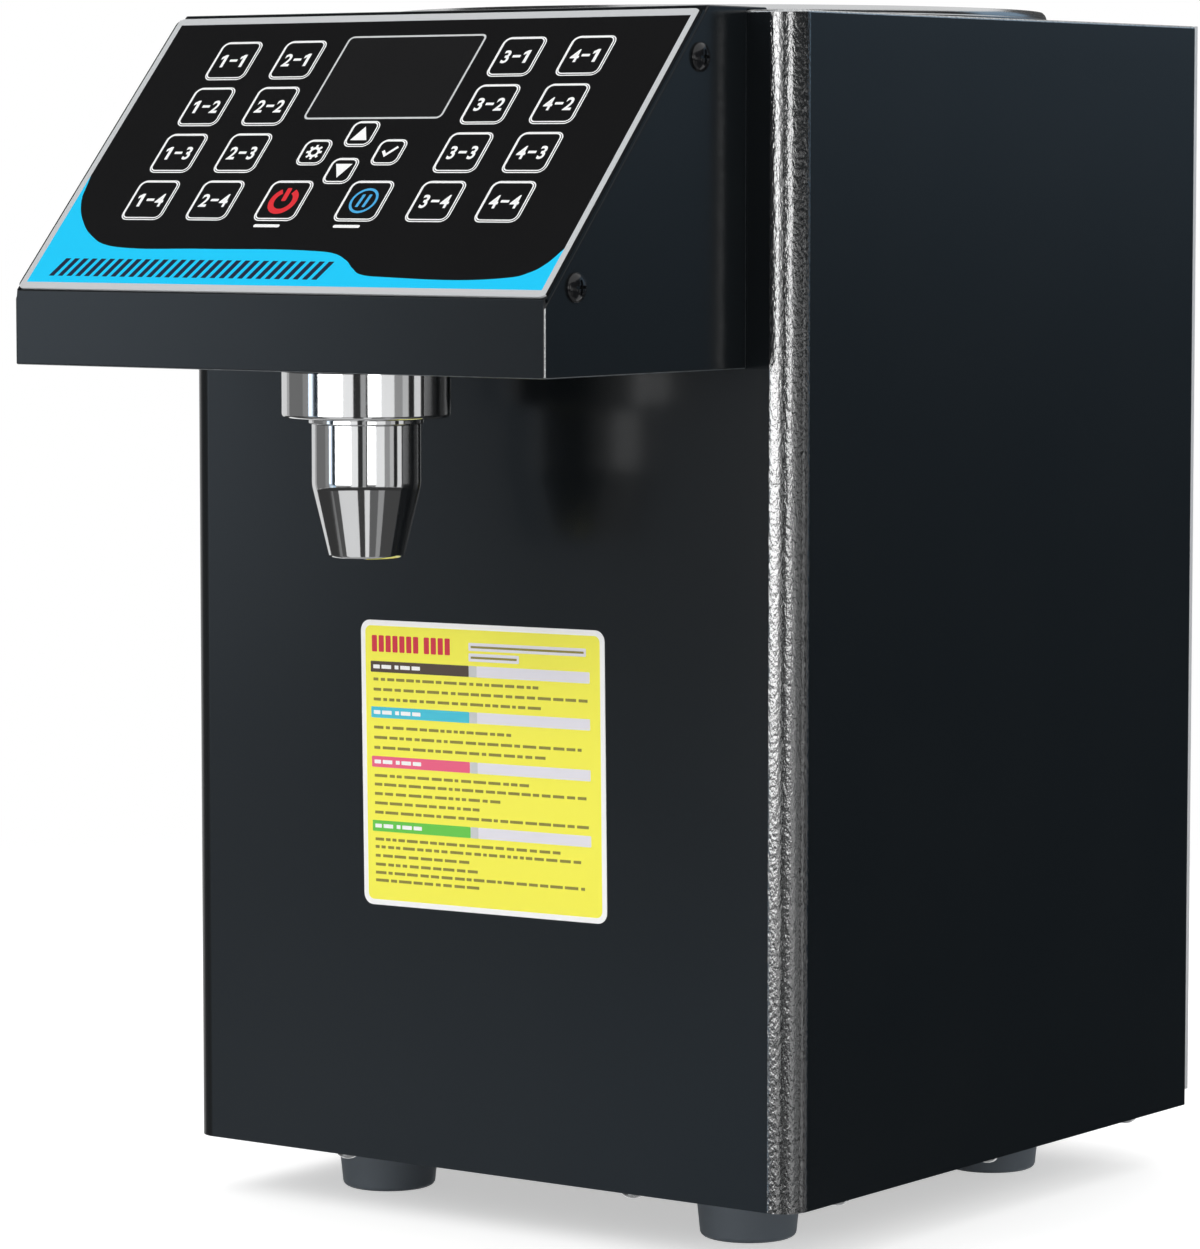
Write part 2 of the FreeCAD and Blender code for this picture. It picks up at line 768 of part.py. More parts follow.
def top_plate():
    """Lid of the cabinet, with a skirt turned down inside the walls and the tank's mouth."""
    part = Sheetwork("top_plate", (0, front_y, top_z))
    side = inner_half - at.fit_gap
    front = at.sheet_gauge + at.fit_gap
    rear = at.cab_depth - at.sheet_gauge - at.fit_gap
    gauge = at.sheet_gauge
    plan = part.sketch()
    polygon(plan, [(-side, front), (side, front), (side, rear), (-side, rear)])
    part.pad(plan, gauge, reverse=True)
    skirt = part.sketch()
    notch = at.corner_radius
    polygon(skirt, [
        (-side, front + notch), (-side + gauge, front + notch), (-side + gauge, rear - gauge),
        (side - gauge, rear - gauge), (side - gauge, front + notch), (side, front + notch),
        (side, rear), (-side, rear),
    ])
    part.pad(skirt, at.skirt_depth, reverse=True)
    apron = part.sketch()
    polygon(apron, [
        (-side + notch, front), (side - notch, front),
        (side - notch, front + gauge), (-side + notch, front + gauge),
    ])
    part.pad(apron, at.skirt_depth, reverse=True)
    corners = [(-side, front), (side, front)]
    part.fillet(lambda edge: upright(edge, corners), at.corner_radius - gauge)
    mouth = part.sketch()
    circle(mouth, (0, tank_setback), tank_radius + at.mouth_clearance)
    part.pocket(mouth, THROUGH * gauge)


# --- head ---

def head_shell():
    """Folded housing with front face, underside, cheeks and a tongue on the cabinet's top."""
    part = Sheetwork("head_shell", (0, front_y, at.foot_height))
    front = -at.head_overhang
    gauge = at.sheet_gauge
    nose = at.head_bottom + at.nose_height
    top = at.cab_height + gauge
    side = part.sketch("YZ_Plane")
    polygon(side, [
        (0, at.head_bottom), (front, at.head_bottom), (front, nose), (-at.top_run, top),
        (at.head_lap, top), (at.head_lap, at.cab_height), (0, at.cab_height),
    ])
    part.pad(side, at.head_width, symmetric=True)
    steepness = slope_rise / slope_run
    drop = gauge * slope_length / slope_run
    hollow = part.sketch("YZ_Plane")
    inner_front = front + gauge
    polygon(hollow, [
        (gauge, at.head_bottom + gauge), (inner_front, at.head_bottom + gauge),
        (inner_front, nose + gauge * steepness - drop),
        (-at.top_run - (gauge - drop) / steepness, at.cab_height), (gauge, at.cab_height),
    ])
    part.pocket(hollow, at.head_width - 2 * gauge)
    opening = part.sketch("YZ_Plane")
    low = at.panel_inset + at.slope_ledge
    high = slope_length - at.panel_head_gap - at.slope_ledge
    polygon(opening, [
        slope_point(front, nose, low, gauge), slope_point(front, nose, high, gauge),
        slope_point(front, nose, high, -2 * gauge), slope_point(front, nose, low, -2 * gauge),
    ])
    part.pocket(opening, at.head_width - 2 * gauge)
    hole = part.sketch("XY_Plane", at.head_bottom)
    circle(hole, (0, -at.nozzle_setback), at.neck_radius + at.neck_clearance)
    part.pocket(hole, THROUGH * gauge)
    screws = part.sketch("YZ_Plane")
    for along, depth in cheek_screws:
        circle(screws, slope_point(front, nose, at.panel_inset + along, depth), at.screw_hole)
    part.pocket(screws, 2 * at.head_width)


def slope_point(front, nose, along, out):
    """Point of the head's side view, along the slope from its lower bend and out of it."""
    across = front + along * slope_cos - out * slope_sin
    return (across, nose + along * slope_sin + out * slope_cos)


def control_panel_plate():
    """Sloping tray that carries the keypad: skirts inside the cheeks and studs for the board."""
    part = Sheetwork("control_panel_plate", panel_at, slope_turn)
    plate = part.sketch()
    rectangle(plate, (0, panel_length / 2), at.head_width, panel_length)
    part.pad(plate, at.panel_gauge)
    skirt_out = head_half - at.sheet_gauge - at.fit_gap
    skirts = part.sketch("XY_Plane", at.panel_gauge / 2)
    for side in (-1, 1):
        centre = (side * (skirt_out - at.panel_gauge / 2), panel_length / 2)
        rectangle(skirts, centre, at.panel_gauge, panel_length - 2 * at.skirt_inset)
    part.pad(skirts, at.panel_skirt, reverse=True)
    studs = part.sketch("XY_Plane", at.panel_gauge / 2)
    for spot in stud_places():
        circle(studs, spot, at.stud_radius)
    part.pad(studs, at.stud_length + at.panel_gauge / 2, reverse=True)
    holes = part.sketch()
    for spot, _ in keys.values():
        circle(holes, spot, at.key_post_radius + at.post_clearance)
    ledge = 2 * at.display_ledge
    display = (0, at.display_centre)
    rectangle(holes, display, at.display_width - ledge, at.display_height - ledge)
    part.pocket(holes, THROUGH * at.panel_gauge)
    screws = part.sketch("YZ_Plane")
    for spot in cheek_screws:
        circle(screws, spot, at.screw_hole)
    part.pocket(screws, 2 * at.head_width)


def stud_places():
    side = at.board_width / 2 - at.stud_inset
    low = at.board_margin + at.stud_inset
    return [(x, y) for x in (-side, side) for y in (low, panel_length - low)]


def keypad_overlay():
    """Printed film over the whole panel, open at each key and at the display."""
    part = Sheetwork("keypad_overlay", panel_at, slope_turn)
    film = part.sketch("XY_Plane", at.panel_gauge)
    edge = 2 * at.overlay_edge
    width, height = at.head_width - edge, panel_length - edge
    rounded_rectangle(film, (0, panel_length / 2), width, height, at.overlay_radius)
    part.pad(film, at.overlay_gauge)
    gap = 2 * at.key_clearance
    for spot, side in keys.values():
        hole = part.sketch("XY_Plane", at.panel_gauge)
        rounded_rectangle(hole, spot, side + gap, side + gap, at.key_radius)
        part.pocket(hole, THROUGH * at.overlay_gauge)
    window = part.sketch("XY_Plane", at.panel_gauge)
    display = (0, at.display_centre)
    rounded_rectangle(window, display, at.display_width, at.display_height, at.display_radius)
    part.pocket(window, THROUGH * at.overlay_gauge)


def key(label, spot, side):
    """One embossed key cap with the post that works its switch."""
    part = Sheetwork(label, panel_at, slope_turn)
    bottom = at.panel_gauge + at.key_travel + at.key_rest_gap
    cap = part.sketch("XY_Plane", bottom)
    rounded_rectangle(cap, spot, side, side, at.key_radius - at.key_clearance)
    part.pad(cap, at.key_gauge)
    post = part.sketch("XY_Plane", bottom + at.key_gauge / 2)
    circle(post, spot, at.key_post_radius)
    reach = bottom + at.key_gauge / 2 + at.stud_length - at.switch_height
    part.pad(post, reach - at.key_travel - at.key_rest_gap, reverse=True)


def display_window():
    """Smoked window let into the overlay and resting on the panel."""
    part = Sheetwork("display_window", panel_at, slope_turn)
    pane = part.sketch("XY_Plane", at.panel_gauge)
    gap = 2 * at.key_clearance
    size = (at.display_width - gap, at.display_height - gap)
    rounded_rectangle(pane, (0, at.display_centre), *size, at.display_radius - at.key_clearance)
    part.pad(pane, at.overlay_gauge)


def display_module():
    """Digit block standing on the board behind the window."""
    part = Sheetwork("display_module", panel_at, slope_turn)
    block = part.sketch("XY_Plane", -at.stud_length)
    inset = 2 * at.display_ledge + 2 * at.fit_gap
    size = (at.display_width - inset, at.display_height - inset)
    rectangle(block, (0, at.display_centre), *size)
    part.pad(block, at.display_depth)


def control_board():
    """Circuit board on the panel's studs, with one tactile switch under each key."""
    part = Sheetwork("control_board", panel_at, slope_turn)
    board = part.sketch("XY_Plane", -at.stud_length)
    height = panel_length - 2 * at.board_margin
    rectangle(board, (0, panel_length / 2), at.board_width, height)
    part.pad(board, at.board_gauge, reverse=True)
    switches = part.sketch("XY_Plane", -at.stud_length - at.board_gauge / 2)
    for spot, _ in keys.values():
        rectangle(switches, spot, at.switch_side, at.switch_side)
    part.pad(switches, at.switch_height + at.board_gauge / 2)


def notice_card():
    """Plain coloured card stuck to the cabinet's front."""
    where = (at.card_column, front_y, at.foot_height + at.card_centre)
    part = Sheetwork("notice_card", where, Rotation(Vector(0, -1, 0), CARD_TILT))
    card = part.sketch("XZ_Plane")
    rounded_rectangle(card, (0, 0), at.card_width, at.card_height, at.card_radius)
    part.pad(card, at.card_gauge)


# --- nozzle ---

def nozzle_gasket():
    part = Sheetwork("nozzle_gasket", nozzle_at)
    inner = at.neck_radius + at.neck_clearance
    outer = at.nozzle_flange_radius - at.gasket_gauge
    part.revolve([(inner, -at.gasket_gauge), (outer, -at.gasket_gauge), (outer, 0), (inner, 0)])


def nozzle_flange():
    """Thick disc under the head with a threaded neck, a hose barb and the valve's seat."""
    part = Sheetwork("nozzle_flange", nozzle_at)
    disc = -at.gasket_gauge
    collar = seat_z + at.collar_height
    bore_end = disc - at.poppet_height
    part.revolve([
        (at.barb_bore, neck_top + at.barb_length), (at.barb_radius, neck_top + at.barb_length),
        (at.barb_radius, neck_top), (at.neck_radius, neck_top), (at.neck_radius, disc),
        (at.nozzle_flange_radius, disc), (at.nozzle_flange_radius, collar),
        (at.collar_radius, collar), (at.collar_radius, seat_z), (at.seat_bore, seat_z),
        (at.seat_bore, bore_end), (at.barb_bore, bore_end),
    ])
    part.fillet(lambda edge: rim(edge, at.nozzle_flange_radius, collar), at.flange_round)
    part.fillet(lambda edge: rim(edge, at.nozzle_flange_radius, disc), at.flange_edge_round)


def nozzle_barrel():
    """Straight and tapered spout with the valve's chamber inside."""
    part = Sheetwork("nozzle_barrel", nozzle_at)
    bend = seat_z - at.barrel_straight
    tip = bend - at.barrel_taper
    ledge = seat_z - at.chamber_depth
    part.revolve([
        (at.chamber_radius, seat_z), (at.barrel_radius, seat_z), (at.barrel_radius, bend),
        (at.tip_radius, tip), (at.outlet_radius, tip), (at.outlet_radius, ledge),
        (at.chamber_radius, ledge),
    ])
    part.fillet(lambda edge: rim(edge, at.barrel_radius, bend), at.bend_round)
    part.fillet(lambda edge: rim(edge, at.tip_radius, tip), at.tip_round)


def nozzle_locknut():
    """Hexagon nut that clamps the flange's neck to the head's underside."""
    part = Sheetwork("nozzle_locknut", nozzle_at)
    outline = part.sketch("XY_Plane", at.sheet_gauge)
    across = at.locknut_flats / math.sqrt(3)
    polygon(outline, [
        (across * math.cos(math.radians(60 * side)), across * math.sin(math.radians(60 * side)))
        for side in range(6)
    ])
    part.pad(outline, at.locknut_height)
    bore = part.sketch("XY_Plane", at.sheet_gauge)
    circle(bore, (0, 0), at.neck_radius + at.thread_clearance)
    part.pocket(bore, THROUGH * at.locknut_height)


def valve_poppet():
    """Disc that closes the seat from below, on a stem inside its spring."""
    part = Sheetwork("valve_poppet", nozzle_at)
    top = seat_z - at.poppet_seat_gap
    bottom = top - at.poppet_height
    nose = at.seat_bore - 2 * at.poppet_seat_gap
    part.revolve([
        (0, top + at.stem_radius), (at.stem_radius, top + at.stem_radius), (nose, top),
        (at.poppet_radius, top), (at.poppet_radius, bottom), (at.stem_radius, bottom),
        (at.stem_radius, bottom - at.stem_length), (0, bottom - at.stem_length),
    ])


def valve_spring():
    """Compression spring between the poppet and the ledge at the chamber's foot."""
    low = seat_z - at.chamber_depth + at.spring_wire + at.spring_end_gap
    high = seat_z - at.poppet_seat_gap - at.poppet_height - at.spring_wire - at.spring_end_gap
    radius, rise = value_of(at.spring_radius), value_of(high - low)
    coil = Part.makeHelix(rise / value_of(at.spring_turns), rise, radius)
    section = Part.makeCircle(value_of(at.spring_wire), Vector(radius, 0, 0), Vector(0, 1, 0))
    spring = Part.Wire(coil.Edges).makePipeShell([Part.Wire([section])], True, True)
    solid_feature("valve_spring", spring, shift(nozzle_at, z=low))


# --- tank and lid ---

def tank():
    """Spun tank hung in the cabinet's top by its rim, with a hose spigot at the bottom."""
    part = Sheetwork("tank", tank_at)
    inside = tank_radius - at.tank_gauge
    spigot_end = spigot_z - at.spigot_length
    part.revolve([
        (inside, at.rim_gauge), (tank_radius + at.tank_rim, at.rim_gauge),
        (tank_radius + at.tank_rim, 0), (tank_radius, 0), (tank_radius, -at.tank_depth),
        (at.barb_radius, spigot_z), (at.barb_radius, spigot_end), (at.barb_bore, spigot_end),
        (at.barb_bore, spigot_z + at.tank_gauge), (inside, at.tank_gauge - at.tank_depth),
    ])


def heater_band():
    """Heating belt round the tank's foot with its terminal box."""
    part = Sheetwork("heater_band", tank_at)
    inner = tank_radius + at.fit_gap
    outer = inner + at.band_gauge
    low = at.band_rise - at.tank_depth
    high = low + at.band_height
    part.revolve([(inner, low), (outer, low), (outer, high), (inner, high)])
    terminal = part.sketch("XY_Plane", low)
    reach = outer + at.terminal_depth
    start = inner + at.band_gauge / 4
    rectangle(terminal, ((start + reach) / 2, 0), reach - start, at.terminal_length)
    part.pad(terminal, at.band_height)


def lid():
    """Pressed cover with a turned-down edge and a dished middle round its knob."""
    part = Sheetwork("lid", tank_at)
    gauge = at.lid_gauge
    top, low = at.lid_height, at.lid_gap
    wall = lid_radius - at.lid_lip
    floor = top - at.recess_depth
    shoulder = wall - at.lid_round
    dish = at.recess_radius + at.recess_depth / 2
    part.revolve([
        (0, floor), (at.recess_radius, floor), (dish, top), (shoulder, top),
        (wall, top - at.lid_round), (wall, low + gauge), (lid_radius, low + gauge),
        (lid_radius, low), (wall - gauge, low), (wall - gauge, top - at.lid_round - gauge / 2),
        (shoulder - gauge / 2, top - gauge), (dish + gauge / 2, top - gauge),
        (at.recess_radius + gauge / 2, floor - gauge), (0, floor - gauge),
    ])


def lid_seal():
    """Soft ring under the lid that rests on the tank's rim."""
    part = Sheetwork("lid_seal", tank_at)
    outer = tank_radius + at.tank_rim - at.lid_gap
    inner = outer - at.seal_width
    low = at.rim_gauge + at.seal_gap
    high = at.lid_height - at.lid_gauge
    part.revolve([(inner, low), (outer, low), (outer, high), (inner, high)])


def lid_knob():
    """Low knob standing in the lid's dished middle."""
    part = Sheetwork("lid_knob", tank_at)
    foot = at.lid_height - at.recess_depth
    top = foot + at.knob_height
    cap = top - at.knob_cap
    part.revolve([
        (0, foot), (at.knob_waist, foot), (at.knob_waist, cap), (at.knob_radius, cap),
        (at.knob_radius, top), (0, top),
    ])
    part.fillet(lambda edge: rim(edge, at.knob_radius, top), at.knob_round)


# --- pump ---

def gear_shape(centre, phase):
    """Spur gear by its involute, with a shaft hole's worth of blank, about an X axis."""
    module, teeth = value_of(at.gear_module), round(value_of(at.gear_teeth))
    pitch = module * teeth / 2
    base = pitch * math.cos(math.radians(PRESSURE_ANGLE))
    tip, foot = pitch + value_of(at.gear_tip), pitch - value_of(at.gear_root)
    half_tooth = math.pi / (2 * teeth) - value_of(at.gear_backlash) / (2 * pitch)
    involute_at_pitch = math.tan(math.radians(PRESSURE_ANGLE)) - math.radians(PRESSURE_ANGLE)

    def flank_point(radius, side, middle):
        roll = math.sqrt(max((radius / base) ** 2 - 1, 0))
        swing = half_tooth + involute_at_pitch - (roll - math.atan(roll))
        angle = middle + side * swing
        return Vector(0, radius * math.sin(angle), radius * math.cos(angle))

    radii = [max(base, foot) + (tip - max(base, foot)) * step / (FLANK_POINTS - 1)
             for step in range(FLANK_POINTS)]
    edges, first, last = [], None, None
    for tooth in range(teeth):
        middle = phase + 2 * math.pi * tooth / teeth
        rising = [flank_point(radius, -1, middle) for radius in radii]
        falling = [flank_point(radius, 1, middle) for radius in reversed(radii)]
        heel, toe = rising[0] * (foot / rising[0].Length), falling[-1] * (foot / falling[-1].Length)
        if last is not None:
            edges.append(root_arc(last, heel, foot))
        first = first or heel
        crest = Vector(0, tip * math.sin(middle), tip * math.cos(middle))
        edges.append(Part.makeLine(heel, rising[0]))
        edges.append(smooth(rising))
        edges.append(Part.Arc(rising[-1], crest, falling[0]).toShape())
        edges.append(smooth(falling))
        edges.append(Part.makeLine(falling[-1], toe))
        last = toe
    edges.append(root_arc(last, first, foot))
    face = Part.Face(Part.Wire(edges))
    half = value_of(at.gear_width) / 2
    blank = face.extrude(Vector(2 * half, 0, 0))
    blank.translate(Vector(-half, 0, 0) + centre)
    return blank


def smooth(points):
    curve = Part.BSplineCurve()
    curve.interpolate(points)
    return curve.toShape()


def root_arc(start, end, radius):
    middle = start + end
    return Part.Arc(start, middle * (radius / middle.Length), end).toShape()


def shaft_shape(low, high, centre):
    start = Vector(low, 0, 0) + centre
    return Part.makeCylinder(value_of(at.shaft_radius), high - low, start, Vector(1, 0, 0))


def pump_gears():
    """Drive gear with the long shaft below, idler gear above, in mesh."""
    half = value_of(gear_centres) / 2
    end = value_of(cavity_half + at.pump_cover_gauge * SHAFT_SEAT - at.shaft_end_gap)
    idler_end = value_of(cavity_half + at.pump_back * SHAFT_SEAT - at.shaft_end_gap)
    drive_end = value_of(pump_back_x + at.bracket_gauge + at.motor_socket - 2 * at.shaft_end_gap)
    low, high = point(pump_at) - Vector(0, 0, half), point(pump_at) + Vector(0, 0, half)
    turn = math.pi / round(value_of(at.gear_teeth))
    drive = gear_shape(low, 0.0).fuse(shaft_shape(-end, drive_end, low)).removeSplitter()
    idler = gear_shape(high, turn + math.pi).fuse(shaft_shape(-end, idler_end, high))
    solid_feature("drive_gear", drive)
    solid_feature("idler_gear", idler.removeSplitter())


def pump_block(start, end):
    """Solid with the pump's rounded outline between two planes across X."""
    half = gear_centres / 2
    low = rod(pump_round, end - start, shift(pump_at, x=start, z=-half), "X")
    high = rod(pump_round, end - start, shift(pump_at, x=start, z=half), "X")
    web = box(shift(pump_at, start, -pump_round, -half), shift(pump_at, end, pump_round, half))
    return [low, high, web]


def bearing(start, length, height):
    radius = at.shaft_radius + at.shaft_clearance
    return rod(radius, length, shift(pump_at, x=start, z=height), "X")


def pump_housing():
    """Gear chamber with a rear suction port and a front delivery port."""
    half = gear_centres / 2
    solids = pump_block(-cavity_half, pump_back_x)
    tools = [
        rod(cavity_radius, 2 * cavity_half, shift(pump_at, x=-cavity_half, z=height), "X")
        for height in (-half, half)
    ]
    tools.append(bearing(cavity_half, 2 * at.pump_back, -half))
    tools.append(bearing(cavity_half, at.pump_back * SHAFT_SEAT, half))
    throat = cavity_radius / 3
    barb_end = port_reach + at.barb_length
    for side in (-1, 1):
        start = pump_round / 2 if side > 0 else -port_reach
        length = port_reach - pump_round / 2
        solids.append(rod(at.port_boss, length, shift(pump_at, y=start), "Y"))
        start = pump_round / 2 if side > 0 else -barb_end
        solids.append(rod(at.barb_radius, barb_end - pump_round / 2, shift(pump_at, y=start), "Y"))
        start = throat if side > 0 else -barb_end - at.barb_bare
        length = barb_end + at.barb_bare - throat
        tools.append(rod(at.barb_bore, length, shift(pump_at, y=start), "Y"))
    for across, height in pump_screws:
        spot = shift(pump_at, -cavity_half, across, height)
        tools.append(rod(at.screw_hole, cavity_half, spot, "X"))
    keep(cut(fuse(*solids), *tools), "pump_housing")


def pump_cover():
    """Plate that closes the gear chamber."""
    half = gear_centres / 2
    outer = -cavity_half - at.pump_cover_gauge
    depth = at.pump_cover_gauge * SHAFT_SEAT
    tools = [bearing(-cavity_half - depth, depth, height) for height in (-half, half)]
    for across, height in pump_screws:
        spot = shift(pump_at, outer, across, height)
        tools.append(rod(at.screw_hole, at.pump_cover_gauge, spot, "X"))
    keep(cut(fuse(*pump_block(outer, -cavity_half)), *tools), "pump_cover")


def pump_bracket():
    """Angle plate on the floor that carries the pump on one side and the motor on the other."""
    start = pump_back_x
    end = start + at.bracket_gauge
    half = at.bracket_width / 2
    middle = front_y + at.pump_setback
    top = pump_at[2] + gear_centres / 2 + pump_round
    plate = box((start, middle - half, floor_z), (end, middle + half, top))
    foot_end = start + at.bracket_foot
    foot = box((start, middle - half, floor_z), (foot_end, middle + half, floor_z + at.bracket_gauge))
    hole = bearing(start, at.bracket_gauge, -gear_centres / 2)
    keep(cut(fuse(plate, foot), hole), "pump_bracket")


def pump_motor():
    """Gearmotor with a hollow output that takes the drive gear's shaft."""
    start = pump_back_x + at.bracket_gauge
    centre = -gear_centres / 2
    can = rod(at.motor_radius, at.motor_length, shift(pump_at, x=start, z=centre), "X")
    neck = at.motor_radius / 2
    tail = shift(pump_at, x=start + at.motor_length, z=centre)
    boss = rod(neck, at.bracket_gauge, tail, "X")
    keep(cut(fuse(can, boss), bearing(start, at.motor_socket, centre)), "pump_motor")


# --- hoses ---

def hose_path(corners, bends):
    """Straight runs joined by tangent arcs in the plane X = 0."""
    edges = []
    start = corners[0]
    for before, corner, after, bend in zip(corners, corners[1:], corners[2:], bends):
        inward = (before - corner).normalize()
        outward = (after - corner).normalize()
        half = inward.getAngle(outward) / 2
        reach = bend / math.tan(half)
        enter, leave = corner + inward * reach, corner + outward * reach
        bisector = (inward + outward).normalize()
        middle = corner + bisector * (bend / math.sin(half) - bend)
        edges.append(Part.makeLine(start, enter))
        edges.append(Part.Arc(enter, middle, leave).toShape())
        start = leave
    edges.append(Part.makeLine(start, corners[-1]))
    return Part.Wire(edges)


def hose(label, corners, bends):
    """Hollow hose along a path, checked against its section times its length."""
    path = hose_path(corners, bends)
    heading = corners[1] - corners[0]
    outer, bore = value_of(at.hose_radius), value_of(at.hose_bore)
    tubes = []
    for radius in (outer, bore):
        section = Part.Wire([Part.makeCircle(radius, corners[0], heading)])
        tubes.append(path.makePipeShell([section], True, False))
    tube = tubes[0].cut(tubes[1])
    expected = math.pi * (outer**2 - bore**2) * path.Length
    if abs(tube.Volume - expected) > HOSE_ERROR * expected:
        raise RuntimeError(f"{label}: swept volume {tube.Volume:.0f}, expected {expected:.0f}")
    solid_feature(label, tube)


def suction_hose():
    """From the tank's spigot down and forward to the pump."""
    lead = at.barb_length - at.barb_bare
    top = point(shift(tank_at, z=spigot_z - at.spigot_length + lead))
    port = point(shift(pump_at, y=port_reach + at.barb_bare))
    barb_end = value_of(pump_at[1] + port_reach + at.barb_length)
    hose("suction_hose", [top, Vector(0, top.y, port.z), port], [top.y - barb_end])


def delivery_hose():
    """From the pump up inside the front wall, over into the head and down to the nozzle."""
    port = point(shift(pump_at, y=-port_reach - at.barb_bare))
    barb_end = value_of(pump_at[1] - port_reach - at.barb_length)
    riser = value_of(front_y + at.riser_setback)
    nozzle = point(shift(nozzle_at, z=neck_top + at.barb_bare))
    crossover = value_of(head_z + at.crossover_rise)
    corners = [
        port, Vector(0, riser, port.z), Vector(0, riser, crossover),
        Vector(0, nozzle.y, crossover), nozzle,
    ]
    bends = [barb_end - riser, value_of(at.riser_bend), value_of(at.nozzle_bend)]
    hose("delivery_hose", corners, bends)


def hose_clamps():
    """Worm-drive clamps where the hoses push over their barbs."""
    inner = at.hose_radius + at.thread_clearance
    outer = inner + at.clamp_gauge
    mid_barb = at.barb_length / 2 - at.clamp_width / 2
    seats = [
        (shift(nozzle_at, z=neck_top + mid_barb), "Z"),
        (shift(tank_at, z=spigot_z - at.spigot_length + mid_barb), "Z"),
        (shift(pump_at, y=port_reach + mid_barb), "Y"),
        (shift(pump_at, y=-port_reach - at.barb_length + mid_barb), "Y"),
    ]
    rings = []
    for seat, axis in seats:
        band = rod(outer, at.clamp_width, seat, axis)
        half = at.clamp_lug / 2
        low = shift(seat, inner + at.clamp_gauge / 4, -half, 0)
        high = shift(seat, outer + at.clamp_lug, half, at.clamp_width)
        if axis == "Y":
            low = shift(seat, -half, 0, inner + at.clamp_gauge / 4)
            high = shift(seat, half, at.clamp_width, outer + at.clamp_lug)
        rings.append(cut(fuse(band, box(low, high)), rod(inner, at.clamp_width, seat, axis)))
    group = doc.addObject("Part::Compound", "hose_clamps")
    group.Links = rings
    keep(group, "hose_clamps")


# --- electrics ---

def power_supply():
    rear = rear_y - at.supply_rear_gap
    half = at.supply_width / 2
    low = (-half, rear - at.supply_depth, floor_z)
    high = (half, rear, floor_z + at.supply_height)
    keep(box(low, high), "power_supply")


def rear_block(x, wide, tall, start, end):
    """Box centred on a mains fitting's column, between two planes across Y."""
    z = at.foot_height + at.inlet_height
    return box((x - wide / 2, start, z - tall / 2), (x + wide / 2, end, z + tall / 2))


def power_inlet():
    """Three-pin mains socket let through the rear panel."""
    outside = rear_y + at.rear_gauge
    x, z = -at.inlet_column, at.foot_height + at.inlet_height
    flange = rear_block(x, at.inlet_flange_width, at.inlet_flange_tall, outside, outside + at.rear_trim)
    back = outside - at.inlet_depth
    body = rear_block(x, at.inlet_width, at.inlet_tall, back, outside + at.rear_trim / 2)
    wall = 2 * at.inlet_wall
    floor = back + at.inlet_wall
    size = (at.inlet_width - wall, at.inlet_tall - wall)
    recess = rear_block(x, *size, floor, outside + 2 * at.rear_trim)
    shell = cut(fuse(flange, body), recess)
    pins = []
    for across, height in PIN_SPOTS:
        centre_x, centre_z = x + at.inlet_width * across, z + at.inlet_tall * height
        half = at.inlet_wall / 2
        low = (centre_x - half, back + half, centre_z - at.inlet_wall)
        high = (centre_x + half, floor + at.pin_length, centre_z + at.inlet_wall)
        pins.append(box(low, high))
    keep(fuse(shell, *pins), "power_inlet")


def switch_cavity():
    """Width and height of the hole that the rocker swings in."""
    wide = at.rocker_width + 2 * at.rocker_play
    return wide, at.rocker_tall + 2 * at.rocker_end_gap


def switch_body():
    wide, tall = switch_cavity()
    return wide + 2 * at.frame_wall, tall + 2 * at.frame_wall


def switch_frame():
    """Bezel and well of the mains switch."""
    outside = rear_y + at.rear_gauge
    x = at.switch_column
    bezel = rear_block(x, at.bezel_width, at.bezel_tall, outside, outside + at.bezel_gauge)
    well_back = outside - at.well_depth
    wide, tall = switch_body()
    well = rear_block(x, wide, tall, well_back, outside + at.bezel_gauge / 2)
    wide, tall = switch_cavity()
    hollow = rear_block(x, wide, tall, well_back + at.frame_wall, outside + 2 * at.bezel_gauge)
    keep(cut(fuse(bezel, well), hollow), "switch_frame")


def switch_rocker():
    """Rocker with a shallow V face, standing in its off position."""
    pivot = rear_y + at.rear_gauge + at.bezel_gauge - at.rocker_sink
    where = (at.switch_column, pivot, at.foot_height + at.inlet_height)
    turn = Rotation(Vector(1, 0, 0), -value_of(at.rocker_throw))
    part = Sheetwork("switch_rocker", where, turn)
    side = part.sketch("YZ_Plane")
    half = at.rocker_tall / 2
    crest, back = at.rocker_crest, -at.rocker_back
    polygon(side, [
        (crest, -half), (at.rocker_dip, 0), (crest, half), (0, half), (back, half / 3),
        (back, -half / 3), (0, -half),
    ])
    part.pad(side, at.rocker_width, symmetric=True)


# --- feet and screws ---

def feet():
    """Tapered rubber feet with a screw recess in each."""
    height = at.foot_height + at.sheet_gauge
    solids = []
    for x, y in foot_places:
        where = (x, front_y + y, 0)
        cone = doc.addObject("Part::Cone", "foot_cone")
        bind(cone, "Radius1", at.foot_bottom_radius)
        bind(cone, "Radius2", at.foot_top_radius)
        bind(cone, "Height", height)
        place(cone, where)
        doc.recompute()
        rounded = doc.addObject("Part::Fillet", "foot_round")
        rounded.Base = cone
        radius = value_of(at.foot_round)
        edges = [
            (index, radius, radius)
            for index, edge in enumerate(cone.Shape.Edges, 1)
            if rim(edge, at.foot_bottom_radius, 0)
        ]
        rounded.Edges = edges
        recess = rod(at.foot_bore, at.foot_bore_depth, where)
        shank = rod(at.screw_hole, height, where)
        solids.append(cut(rounded, recess, shank))
    group = doc.addObject("Part::Compound", "feet")
    group.Links = solids
    keep(group, "feet")


